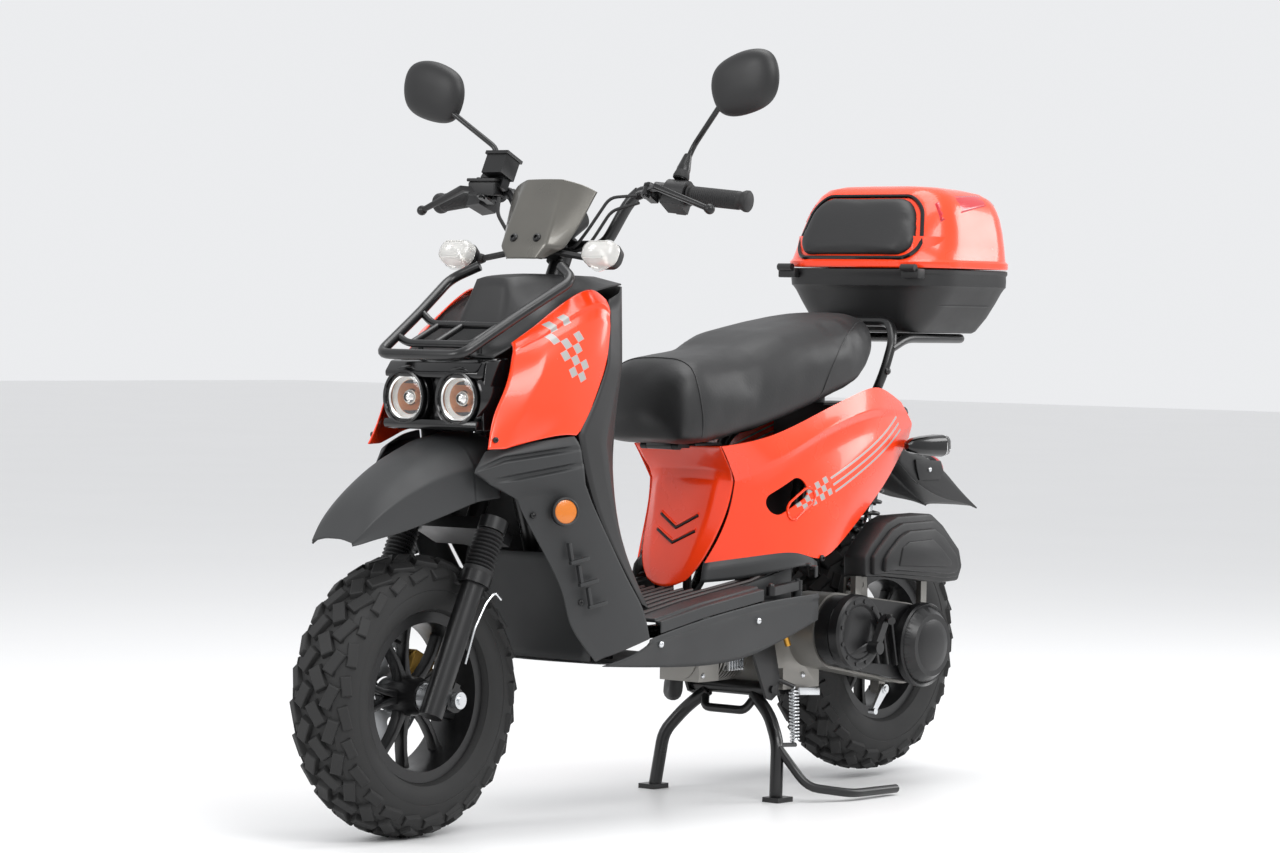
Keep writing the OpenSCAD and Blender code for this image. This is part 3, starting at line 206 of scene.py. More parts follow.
# Finishes, each named for the real material
# Injection-moulded ABS with a clear top coat: deep colour and a sharp, faintly rippled gloss
ORANGE_ABS = Finish(
    "lacquered_orange_ABS", "EE3A0C", "orange_plastic", 0.24, coat=0.35,
    grain=Grain.SMOOTH, grain_mm=40, depth_mm=0.03, shade=0.04,
)
ORANGE_FRONT = Finish(
    "lacquered_orange_ABS_front", "EE3A0C", "orange_plastic", 0.24, coat=0.35,
    grain=Grain.SMOOTH, grain_mm=40, depth_mm=0.03, shade=0.04,
    decals=(
        Decal(Mark.SQUARES, -214, 752, 24, 15, 75, 105),
    ),
)
ORANGE_REAR = Finish(
    "lacquered_orange_ABS_rear", "EE3A0C", "orange_plastic", 0.24, coat=0.35,
    grain=Grain.SMOOTH, grain_mm=40, depth_mm=0.03, shade=0.04,
    decals=(
        Decal(Mark.CHECK, -872, 520, 22, 11.5, 92, 34.5),
        Decal(Mark.STRIPES, -966, 556, 22, 13, 290, 39),
    ),
)
# Textured polypropylene: soft sheen with a fine pebbled grain, drawn at 3 mm so that it shows
GREY_PP = Finish("textured_grey_polypropylene", "222324", "grey_plastic", 0.52, depth_mm=0.07)
BLACK_PP = Finish("textured_black_polypropylene", "0F0F10", "black_plastic", 0.5, depth_mm=0.05)
# Polished black ABS: a clean dark gloss
GLOSS_BLACK = Finish(
    "polished_black_ABS", "060607", "black_plastic", 0.16, grain=Grain.SMOOTH, grain_mm=30, depth_mm=0.02
)
# Powder-coated steel tube: black, slightly orange-peeled
POWDER_BLACK = Finish(
    "powder_coated_steel", "0D0D0E", "black_metal", 0.3, grain=Grain.MOULDED, grain_mm=2.2, depth_mm=0.025
)
# Black anodised and painted cast aluminium
BLACK_CAST = Finish(
    "black_painted_cast_aluminium", "0E0E0F", "black_aluminium", 0.34, 0.15, grain=Grain.CAST, grain_mm=2.5,
    depth_mm=0.05
)
# Sand-cast aluminium left bare: bright grey, granular
BARE_CAST = Finish(
    "sand_cast_aluminium", "807E7A", "cast_aluminium", 0.42, 0.85, grain=Grain.CAST, grain_mm=3,
    depth_mm=0.16, shade=0.2
)
# Bright zinc-plated steel: bolts, springs and levers
ZINC = Finish("zinc_plated_steel", "C4C6C8", "steel", 0.26, 1.0, grain=Grain.BRUSHED, grain_mm=2, depth_mm=0.02)
BLUE_ZINC = Finish("blue_zinc_plated_bolt", "5C86B8", "steel", 0.28, 0.9, grain=Grain.BRUSHED, grain_mm=2,
    depth_mm=0.02)
BRASS = Finish("yellow_chromate_brass", "B98A3C", "steel", 0.32, 0.95, grain=Grain.BRUSHED, grain_mm=2,
    depth_mm=0.02)
# Ground brake disc: the real disc's concentric machining marks are drawn only as fine plain noise
DISC_STEEL = Finish("ground_disc_steel", "A9ABAD", "steel", 0.3, 1.0, grain=Grain.MACHINED, grain_mm=4,
    depth_mm=0.05)
GOLD_CAST = Finish("gold_anodised_aluminium", "9A7A3A", "black_aluminium", 0.36, 0.8, grain=Grain.CAST,
    depth_mm=0.05)
HEAT_PAINT = Finish("heat_proof_black_paint", "121213", "exhaust_steel", 0.55, 0.2, grain=Grain.CAST,
    grain_mm=3, depth_mm=0.05)
# Natural-rubber mix: dull, with a faint bloom
TYRE_RUBBER = Finish("tyre_rubber", "0C0C0C", "tyre", 0.68, grain=Grain.CAST, grain_mm=4, depth_mm=0.09,
    shade=0.25)
SOFT_RUBBER = Finish("moulded_soft_rubber", "0B0B0C", "rubber", 0.6, grain=Grain.MOULDED, grain_mm=2.5,
    depth_mm=0.05)
# Embossed vinyl: a leather-like grain, drawn at 4 mm so that it shows
VINYL = Finish("embossed_black_vinyl", "121213", "seat_cover", 0.5, grain=Grain.VINYL, grain_mm=4,
    depth_mm=0.11)
SMOKED = Finish("metallic_grey_painted_ABS", "5B5954", "smoked_plastic", 0.3, 0.55, coat=0.3,
    grain=Grain.SMOOTH, depth_mm=0.01)
CLEAR = Finish("clear_polycarbonate", "FFFFFF", "lamp_glass", 0.04, ior=1.49, clear=1.0, grain=Grain.SMOOTH,
    depth_mm=0.0, shade=0.0)
RIBBED = Finish("ribbed_clear_polycarbonate", "F2F1EE", "lamp_glass", 0.18, ior=1.49, clear=0.55,
    grain=Grain.SMOOTH, depth_mm=0.0, shade=0.0)
REFLECTOR = Finish("vacuum_metallised_reflector", "E4E4E2", "lamp_glass", 0.16, 1.0, grain=Grain.SMOOTH,
    depth_mm=0.02)
FROSTED = Finish("frosted_lamp_glass", "F3F1EC", "lamp_glass", 0.3, grain=Grain.SMOOTH, depth_mm=0.0, glow=0.12)
AMBER_RING = Finish("amber_lamp_ring", "D9976A", "lamp_glass", 0.35, 0.3, grain=Grain.SMOOTH, depth_mm=0.0)
AMBER = Finish("amber_prism_reflector", "C26A12", "amber_lens", 0.22, coat=0.4, grain=Grain.VINYL,
    grain_mm=5, depth_mm=0.35)
RED_LENS = Finish("red_prism_lens", "B0101C", "red_plastic", 0.18, coat=0.5, grain=Grain.VINYL, grain_mm=6,
    depth_mm=0.3)
YELLOW_KEY = Finish("yellow_moulded_key", "C98A14", "yellow_plastic", 0.4)
RED_KEY = Finish("red_moulded_key", "B01414", "red_plastic", 0.4)
MIRROR = Finish("silvered_glass", "DCE0E2", "lamp_glass", 0.03, 1.0, grain=Grain.SMOOTH, depth_mm=0.0)
MAT_RUBBER = Finish("brown_tinted_floor_mat", "2A2221", "rubber", 0.55, grain=Grain.MOULDED, depth_mm=0.05)

_materials: dict[str, bpy.types.Material] = {}


def printed_mask(tree: bpy.types.NodeTree, decal: Decal, place: Any) -> Any:
    """Draws where a decal's ink lies.

    Args:
        tree: The material's node tree.
        decal: The pattern and its layout.
        place: The Object coordinate socket.

    Returns:
        A socket that is 1 on ink and 0 elsewhere.
    """
    cell = decal.cell * MM
    origin = at(decal.x, 0, decal.z)
    laid = add_node(
        tree, "ShaderNodeMapping",
        {"Location": origin, "Rotation": (0, math.radians(decal.turn), 0), "Scale": (cell, cell, cell)},
        {"Vector": place}, vector_type="TEXTURE",
    )
    split = add_node(tree, "ShaderNodeSeparateXYZ", links={"Vector": laid.outputs[0]})
    run = add_node(tree, "ShaderNodeMath", {1: -1.0}, {0: split.outputs["X"]}, operation="MULTIPLY")
    rise = split.outputs["Z"]
    spans = ((run.outputs[0], decal.long / decal.cell), (rise, decal.high / decal.cell))
    masks = [
        add_node(tree, "ShaderNodeMath", {1: span / 2, 2: span / 2}, {0: way}, operation="COMPARE").outputs[0]
        for way, span in spans
    ]
    if decal.mark is Mark.STRIPES:
        part = add_node(tree, "ShaderNodeMath", links={0: rise}, operation="FRACT")
        ink = add_node(tree, "ShaderNodeMath", {1: 0.32}, {0: part.outputs[0]},
            operation="LESS_THAN").outputs[0]
    else:
        flat = add_node(tree, "ShaderNodeCombineXYZ", {"Y": 0.5}, {"X": run.outputs[0], "Z": rise})
        ink = add_node(tree, "ShaderNodeTexChecker", {"Scale": 1.0}, {"Vector": flat.outputs[0]}).outputs["Fac"]
        if decal.mark is Mark.SQUARES:
            cells = add_node(tree, "ShaderNodeVectorMath", links={0: flat.outputs[0]}, operation="FLOOR")
            noise_of = add_node(tree, "ShaderNodeTexWhiteNoise", links={"Vector": cells.outputs[0]},
                noise_dimensions="3D")
            some = add_node(tree, "ShaderNodeMath", {1: 0.45}, {0: noise_of.outputs["Value"]},
                operation="GREATER_THAN")
            ink = add_node(tree, "ShaderNodeMath", links={0: ink, 1: some.outputs[0]},
                operation="MULTIPLY").outputs[0]
    for mask in masks:
        ink = add_node(tree, "ShaderNodeMath", links={0: ink, 1: mask}, operation="MULTIPLY").outputs[0]
    return ink


def relief(tree: bpy.types.NodeTree, finish: Finish, place: Any) -> Any:
    """Makes the height of a finish's fine relief.

    Args:
        tree: The material's node tree.
        finish: The finish.
        place: The Object coordinate socket.

    Returns:
        The height socket.
    """
    per_metre = 1000.0 / finish.grain_mm
    if finish.grain is Grain.BRUSHED:
        drawn = add_node(tree, "ShaderNodeMapping", {"Scale": (1.0, 1.0, 9.0)}, {"Vector": place})
        return add_node(
            tree, "ShaderNodeTexNoise", {"Scale": per_metre, "Detail": 3.0}, {"Vector": drawn.outputs[0]}
        ).outputs["Fac"]
    if finish.grain is Grain.VINYL:
        return add_node(
            tree, "ShaderNodeTexVoronoi", {"Scale": per_metre, "Randomness": 0.9}, {"Vector": place},
            feature="F2",
        ).outputs["Distance"]
    detail = 1.0 if finish.grain is Grain.SMOOTH else 4.0
    return add_node(
        tree, "ShaderNodeTexNoise", {"Scale": per_metre, "Detail": detail, "Roughness": 0.6}, {"Vector": place}
    ).outputs["Fac"]


def material(finish: Finish) -> bpy.types.Material:
    """Builds a finish's node material once.

    Args:
        finish: The finish to build.

    Returns:
        The material.
    """
    if finish.name in _materials:
        return _materials[finish.name]
    made = bpy.data.materials.new(finish.name)
    made.use_nodes = True
    tree = made.node_tree
    tree.nodes.clear()
    place = add_node(tree, "ShaderNodeTexCoord").outputs["Object"]
    base = linear(finish.colour)
    lighter = tuple(min(1.0, c * (1 + 2 * finish.shade) + 0.02 * finish.shade) for c in base[:3]) + (1.0,)
    broad = add_node(tree, "ShaderNodeTexNoise", {"Scale": 14.0, "Detail": 5.0}, {"Vector": place})
    colour = add_node(
        tree, "ShaderNodeMix", {"A": base, "B": lighter}, {"Factor": broad.outputs["Fac"]}, data_type="RGBA"
    )
    for socket, value in ((6, base), (7, lighter)):
        colour.inputs[socket].default_value = value
    paint = colour.outputs[2]
    rough = add_node(
        tree, "ShaderNodeMapRange",
        {"From Min": 0.3, "From Max": 0.7, "To Min": max(0.02, finish.rough - 0.04),
            "To Max": min(1.0, finish.rough + 0.06)},
        {"Value": broad.outputs["Fac"]},
    ).outputs[0]
    for decal in finish.decals:
        ink = printed_mask(tree, decal, place)
        over = add_node(tree, "ShaderNodeMix", links={0: ink, 6: paint}, data_type="RGBA")
        over.inputs[7].default_value = linear("9B9A98")
        paint = over.outputs[2]
    values: dict[Any, Any] = {"Metallic": finish.metallic, "Coat Weight": finish.coat,
        "Transmission Weight": finish.clear}
    if finish.metallic < 0.5:
        values["IOR"] = finish.ior
    if finish.glow:
        values["Emission Color"] = base
        values["Emission Strength"] = finish.glow
    shader = add_node(tree, "ShaderNodeBsdfPrincipled", values, {"Base Color": paint, "Roughness": rough})
    if finish.depth_mm:
        bump = add_node(
            tree, "ShaderNodeBump", {"Strength": 1.0, "Distance": finish.depth_mm * MM},
            {"Height": relief(tree, finish, place)},
        )
        tree.links.new(bump.outputs[0], shader.inputs["Normal"])
    out = add_node(tree, "ShaderNodeOutputMaterial")
    tree.links.new(shader.outputs[0], out.inputs[0])
    _materials[finish.name] = made
    return made


# ---------- shaping ----------


def cage(rows: Rows, out: Point, sharp_rows: Iterable[int] = (), sharp_cols: Iterable[int] = ()) -> BMesh:
    """Lays a grid over rows of points, ready for subdivision.

    Args:
        rows: Rows of drawing points, all the same length.
        out: The way the outer face points.
        sharp_rows: Rows whose line stays crisp.
        sharp_cols: Columns whose line stays crisp.

    Returns:
        The grid as a bmesh with its creases.
    """
    bm = bmesh.new()
    high, wide = len(rows) - 1, len(rows[0]) - 1
    bmesh.ops.create_grid(bm, x_segments=wide, y_segments=high, size=1.0)
    crease = bm.edges.layers.float.new("crease_edge")
    cell: dict[int, tuple[int, int]] = {}
    for vert in bm.verts:
        col = round((vert.co.x + 1) / 2 * wide)
        row = round((vert.co.y + 1) / 2 * high)
        cell[vert.index] = (row, col)
        vert.co = at(*rows[row][col])
    rows_set, cols_set = set(sharp_rows), set(sharp_cols)
    for edge in bm.edges:
        (r0, c0), (r1, c1) = (cell[v.index] for v in edge.verts)
        if (r0 == r1 and r0 in rows_set) or (c0 == c1 and c0 in cols_set):
            edge[crease] = 0.9
        if edge.is_boundary:
            edge[crease] = 1.0
    for vert in bm.verts:
        if len(vert.link_edges) == 2:
            for edge in vert.link_edges:
                edge[crease] = 1.0
    bm.normal_update()
    total = sum((face.normal * face.calc_area() for face in bm.faces), Vector())
    if total.dot(Vector(out)) < 0:
        bmesh.ops.reverse_faces(bm, faces=bm.faces[:])
    return bm


def add_mirror(bm: BMesh) -> BMesh:
    """Adds the copy of a shape on the scooter's other side."""
    made = bmesh.ops.duplicate(bm, geom=bm.verts[:] + bm.edges[:] + bm.faces[:])
    verts = [g for g in made["geom"] if isinstance(g, bmesh.types.BMVert)]
    faces = [g for g in made["geom"] if isinstance(g, bmesh.types.BMFace)]
    bmesh.ops.scale(bm, vec=(1, -1, 1), verts=verts)
    bmesh.ops.reverse_faces(bm, faces=faces)
    return bm


def merged(shapes: Iterable[BMesh]) -> BMesh:
    """Puts several shapes into one bmesh and frees them."""
    out = bmesh.new()
    for shape in shapes:
        held = bpy.data.meshes.new("held")
        shape.to_mesh(held)
        out.from_mesh(held)
        bpy.data.meshes.remove(held)
        shape.free()
    return out


def rounded_route(points: Sequence[Vector], radius: float, steps: int = 6) -> list[Vector]:
    """Rounds the inner corners of a route.

    Args:
        points: The route's corners in metres.
        radius: How far from a corner the bend starts, in metres.
        steps: Points in a bend.

    Returns:
        The rounded route.
    """
    route = [points[0]]
    for before, corner, after in zip(points, points[1:], points[2:]):
        reach = min(radius, (corner - before).length * 0.49, (after - corner).length * 0.49)
        start = corner + (before - corner).normalized() * reach
        end = corner + (after - corner).normalized() * reach
        for i in range(steps + 1):
            t = i / steps
            route.append(start * (1 - t) ** 2 + corner * 2 * t * (1 - t) + end * t * t)
    route.append(points[-1])
    return route


def tube(points: Sequence[Vector], radius_mm: float, bend_mm: float = 20.0, sides: int = 16) -> BMesh:
    """Makes a capped round tube along a route by sweeping a circle.

    Args:
        points: The route's corners in metres.
        radius_mm: The tube's radius.
        bend_mm: How far from each corner its bend starts.
        sides: Sides of the tube.

    Returns:
        The tube.
    """
    route = rounded_route(points, bend_mm * MM) if bend_mm else list(points)
    curve = bpy.data.curves.new("route", "CURVE")
    curve.dimensions = "3D"
    spline = curve.splines.new("POLY")
    spline.points.add(len(route) - 1)
    for point, place in zip(spline.points, route):
        point.co = (*place, 1.0)
    curve.bevel_depth = radius_mm * MM
    curve.bevel_resolution = max(1, sides // 4 - 1)
    curve.use_fill_caps = True
    holder = bpy.data.objects.new("route", curve)
    mesh = bpy.data.meshes.new_from_object(holder)
    bm = bmesh.new()
    bm.from_mesh(mesh)
    bpy.data.objects.remove(holder)
    bpy.data.curves.remove(curve)
    bpy.data.meshes.remove(mesh)
    bmesh.ops.remove_doubles(bm, verts=bm.verts[:], dist=1e-6)
    bmesh.ops.recalc_face_normals(bm, faces=bm.faces[:])
    return bm


def turned(profile: Sequence[tuple[float, float]], centre: Vector, axis: Vector, steps: int = 64) -> BMesh:
    """Turns a profile on a lathe.

    Args:
        profile: Pairs of distance along the axis and radius, in millimetres. Ends at radius 0 are closed.
        centre: The axis's zero point in metres.
        axis: The axis's direction.
        steps: Steps round the axis.

    Returns:
        The turned shape.
    """
    bm = bmesh.new()
    way = axis.normalized()
    side = way.orthogonal().normalized()
    verts = [bm.verts.new(centre + way * a * MM + side * r * MM) for a, r in profile]
    edges = [bm.edges.new(pair) for pair in zip(verts, verts[1:])]
    bmesh.ops.spin(
        bm, geom=verts + edges, cent=centre, axis=way, angle=2 * math.pi, steps=steps, use_merge=True
    )
    bmesh.ops.remove_doubles(bm, verts=bm.verts[:], dist=1e-6)
    bmesh.ops.recalc_face_normals(bm, faces=bm.faces[:])
    return bm


def ring(profile: Sequence[tuple[float, float]], centre: Vector, axis: Vector, steps: int = 64) -> BMesh:
    """Turns a closed profile, which leaves a hole in the middle."""
    return turned(list(profile) + [profile[0]], centre, axis, steps)


def bar(start: Vector, end: Vector, radius_mm: float, sides: int = 24) -> BMesh:
    """A straight capped rod."""
    long = (end - start).length / MM
    return turned([(0, 0), (0, radius_mm), (long, radius_mm), (long, 0)], start, end - start, sides)


def brick(low: Point, high: Point, edge_mm: float = 1.0, tilt: Optional[Matrix] = None) -> BMesh:
    """A box between two drawing corners with rounded edges.

    Args:
        low: Its lowest corner.
        high: Its highest corner.
        edge_mm: The edge rounding.
        tilt: A turn about the box's middle.

    Returns:
        The box.
    """
    a, b = at(*low), at(*high)
    bm = bmesh.new()
    bmesh.ops.create_cube(bm, size=1.0)
    bmesh.ops.scale(bm, vec=b - a, verts=bm.verts[:])
    if edge_mm:
        bmesh.ops.bevel(
            bm, geom=bm.edges[:], offset=edge_mm * MM, segments=2, profile=0.5, affect="EDGES", material=-1
        )
    if tilt:
        bmesh.ops.transform(bm, matrix=tilt, verts=bm.verts[:])
    bmesh.ops.translate(bm, vec=(a + b) / 2, verts=bm.verts[:])
    return bm


def plate(outline: Sequence[tuple[float, float]], y0: float, y1: float, edge_mm: float = 1.2) -> BMesh:
    """A side-view outline drawn out between two values of Y.

    Args:
        outline: Pairs of drawing X and Z.
        y0: The inner face.
        y1: The outer face.
        edge_mm: The edge rounding.

    Returns:
        The plate.
    """
    bm = bmesh.new()
    face = bm.faces.new([bm.verts.new(at(x, y0, z)) for x, z in outline])
    made = bmesh.ops.extrude_face_region(bm, geom=[face])
    verts = [g for g in made["geom"] if isinstance(g, bmesh.types.BMVert)]
    bmesh.ops.translate(bm, vec=(0, (y1 - y0) * MM, 0), verts=verts)
    bmesh.ops.recalc_face_normals(bm, faces=bm.faces[:])
    if edge_mm:
        bmesh.ops.bevel(
            bm, geom=bm.edges[:], offset=edge_mm * MM, segments=2, profile=0.5, affect="EDGES", material=-1
        )
    return bm


def stack(rings: Sequence[Sequence[Vector]]) -> BMesh:
    """Bridges closed loops of points into a capped body.

    Args:
        rings: Loops of points in metres, each with the same count.

    Returns:
        The closed body.
    """
    bm = bmesh.new()
    loops: list[list[bmesh.types.BMEdge]] = []
    ends: list[list[bmesh.types.BMVert]] = []
    for points in rings:
        made = bmesh.ops.create_circle(bm, segments=len(points), radius=1.0, cap_ends=False)
        verts = made["verts"]
        for vert, place in zip(verts, points):
            vert.co = place
        loops.append([e for e in {e for v in verts for e in v.link_edges}])
        ends.append(verts)
    for low, high in zip(loops, loops[1:]):
        bmesh.ops.bridge_loops(bm, edges=low + high)
    for verts in (ends[0], ends[-1]):
        bm.faces.new(verts)
    bmesh.ops.recalc_face_normals(bm, faces=bm.faces[:])
    return bm


def soft_square(half_long: float, half_wide: float, radius: float,
    count: int = 48) -> list[tuple[float, float]]:
    """Points round a rectangle with round corners.

    Args:
        half_long: Half of its length.
        half_wide: Half of its width.
        radius: The corner radius.
        count: How many points, a multiple of four.

    Returns:
        Pairs of the two coordinates.
    """
    radius = min(radius, half_long * 0.99, half_wide * 0.99)
    corners = ((1, 1), (-1, 1), (-1, -1), (1, -1))
    points = []
    per = count // 4
    for i, (sx, sy) in enumerate(corners):
        for j in range(per):
            a = math.pi / 2 * (i + j / (per - 1))
            points.append(
                (sx * (half_long - radius) + radius * math.cos(a),
                    sy * (half_wide - radius) + radius * math.sin(a))
            )
    return points


# ---------- finished pieces ----------


def piece(
    name: str,
    bm: BMesh,
    finish: Finish,
    body: str,
    replaces: Sequence[str] = (),
    levels: int = 0,
    wall_mm: float = 0.0,
    edge_mm: float = 0.0,
    sharp: float = 40.0,
) -> bpy.types.Object:
    """Turns a shape into a finished piece on a body.

    Args:
        name: The piece's name.
        bm: Its shape, which is freed.
        finish: Its material.
        body: The CAD body it rides on.
        replaces: The CAD nodes it stands for.
        levels: Subdivision levels.
        wall_mm: Thickness given to an open shell.
        edge_mm: Rounding of its sharp edges.
        sharp: The angle from which an edge shades sharp.

    Returns:
        The new object.
    """
    mesh = bpy.data.meshes.new(name)
    bm.to_mesh(mesh)
    bm.free()
    made = bpy.data.objects.new(name, mesh)
    bpy.context.scene.collection.objects.link(made)
    mesh.materials.append(material(finish))
    for polygon in mesh.polygons:
        polygon.use_smooth = True
    if not levels:
        mesh.set_sharp_from_angle(angle=math.radians(sharp))
    if levels:
        smooth = made.modifiers.new("form", "SUBSURF")
        smooth.levels = smooth.render_levels = levels
    if wall_mm:
        shell = made.modifiers.new("wall", "SOLIDIFY")
        shell.thickness = wall_mm * MM
        shell.offset = -1
        shell.use_even_offset = True
    if edge_mm:
        soften = made.modifiers.new("edges", "BEVEL")
        soften.width = edge_mm * MM
        soften.segments = 2
        soften.limit_method = "ANGLE"
        soften.angle_limit = math.radians(38)
        soften.harden_normals = False
    if replaces:
        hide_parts(*replaces)
    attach(made, body)
    LOG.info("piece %s on %s", name, body)
    return made


def cad_copy(node: str) -> BMesh:
    """Copies a CAD node with its loose triangles merged and its flats joined."""
    bm = bmesh.new()
    bm.from_mesh(frame["nodes"][node].data)
    bmesh.ops.remove_doubles(bm, verts=bm.verts[:], dist=2e-6)
    bmesh.ops.dissolve_limit(
        bm, angle_limit=math.radians(0.5), use_dissolve_boundaries=False, verts=bm.verts[:], edges=bm.edges[:]
    )
    return bm


def refined(node: str, finish: Finish, edge_mm: float = 0.8, name: str = "") -> bpy.types.Object:
    """Stands a merged copy of a CAD node with softened edges in for the node.

    Args:
        node: The CAD node.
        finish: The finish.
        edge_mm: Rounding of its edges.
        name: The piece's name, if not the node's with a suffix.

    Returns:
        The new object.
    """
    body = frame["nodes"][node]["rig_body"]
    return piece(name or f"{node}_finished", cad_copy(node), finish, body, (node,), edge_mm=edge_mm, sharp=30)


def plain(node: str, finish: Finish) -> None:
    """Keeps a CAD node as it is, with a new material."""
    held = frame["nodes"][node]
    held.data.materials.clear()
    held.data.materials.append(material(finish))
    LOG.info("node %s keeps its shape", node)


def carve(target: bpy.types.Object, cutter: BMesh) -> None:
    """Cuts a shape out of a piece for good, with the piece's modifiers applied first.

    Args:
        target: The piece.
        cutter: The closed shape to cut away, which is freed.
    """
    mesh = bpy.data.meshes.new("cutter")
    cutter.to_mesh(mesh)
    cutter.free()
    tool = bpy.data.objects.new("cutter", mesh)
    bpy.context.scene.collection.objects.link(tool)
    cut = target.modifiers.new("cut", "BOOLEAN")
    cut.operation = "DIFFERENCE"
    cut.object = tool
    cut.solver = "EXACT"
    bpy.context.view_layer.update()
    graph = bpy.context.evaluated_depsgraph_get()
    baked = bpy.data.meshes.new_from_object(target.evaluated_get(graph))
    old = target.data
    target.modifiers.clear()
    target.data = baked
    for polygon in baked.polygons:
        polygon.use_smooth = True
    baked.set_sharp_from_angle(angle=math.radians(34))
    bpy.data.objects.remove(tool)
    bpy.data.meshes.remove(mesh)
    bpy.data.meshes.remove(old)


def laid(route: Sequence[Vector], target: bpy.types.Object, lift_mm: float) -> list[Vector]:
    """Drops points onto a piece's outer surface.

    Args:
        route: Points in metres near the piece.
        target: The piece they are laid on.
        lift_mm: How far they stand off it.

    Returns:
        The points on the surface.
    """
    bpy.context.view_layer.update()
    held = target.evaluated_get(bpy.context.evaluated_depsgraph_get())
    out = []
    for spot in route:
        found, place, normal, _ = held.closest_point_on_mesh(spot)
        out.append(place + normal * lift_mm * MM if found else spot)
    return out


def screw_head(centre: Vector, way: Vector, radius_mm: float = 5.0, socket: bool = True) -> BMesh:
    """A domed screw head with a socket.

    Args:
        centre: The middle of the head's seat.
        way: The way it faces.
        radius_mm: The head's radius.
        socket: Whether it has a recess.

    Returns:
        The head.
    """
    r = radius_mm
    top = [(0.62 * r, 0.42 * r), (0.2 * r, 0.4 * r), (0.2 * r, 0)] if socket else [(0.66 * r, 0.4 * r),
        (0.7 * r, 0)]
    return turned([(-1.5, 0), (-1.5, r), (0.16 * r, r), (0.48 * r, 0.78 * r)] + top, centre, way, 20)


# ---------- wheels ----------


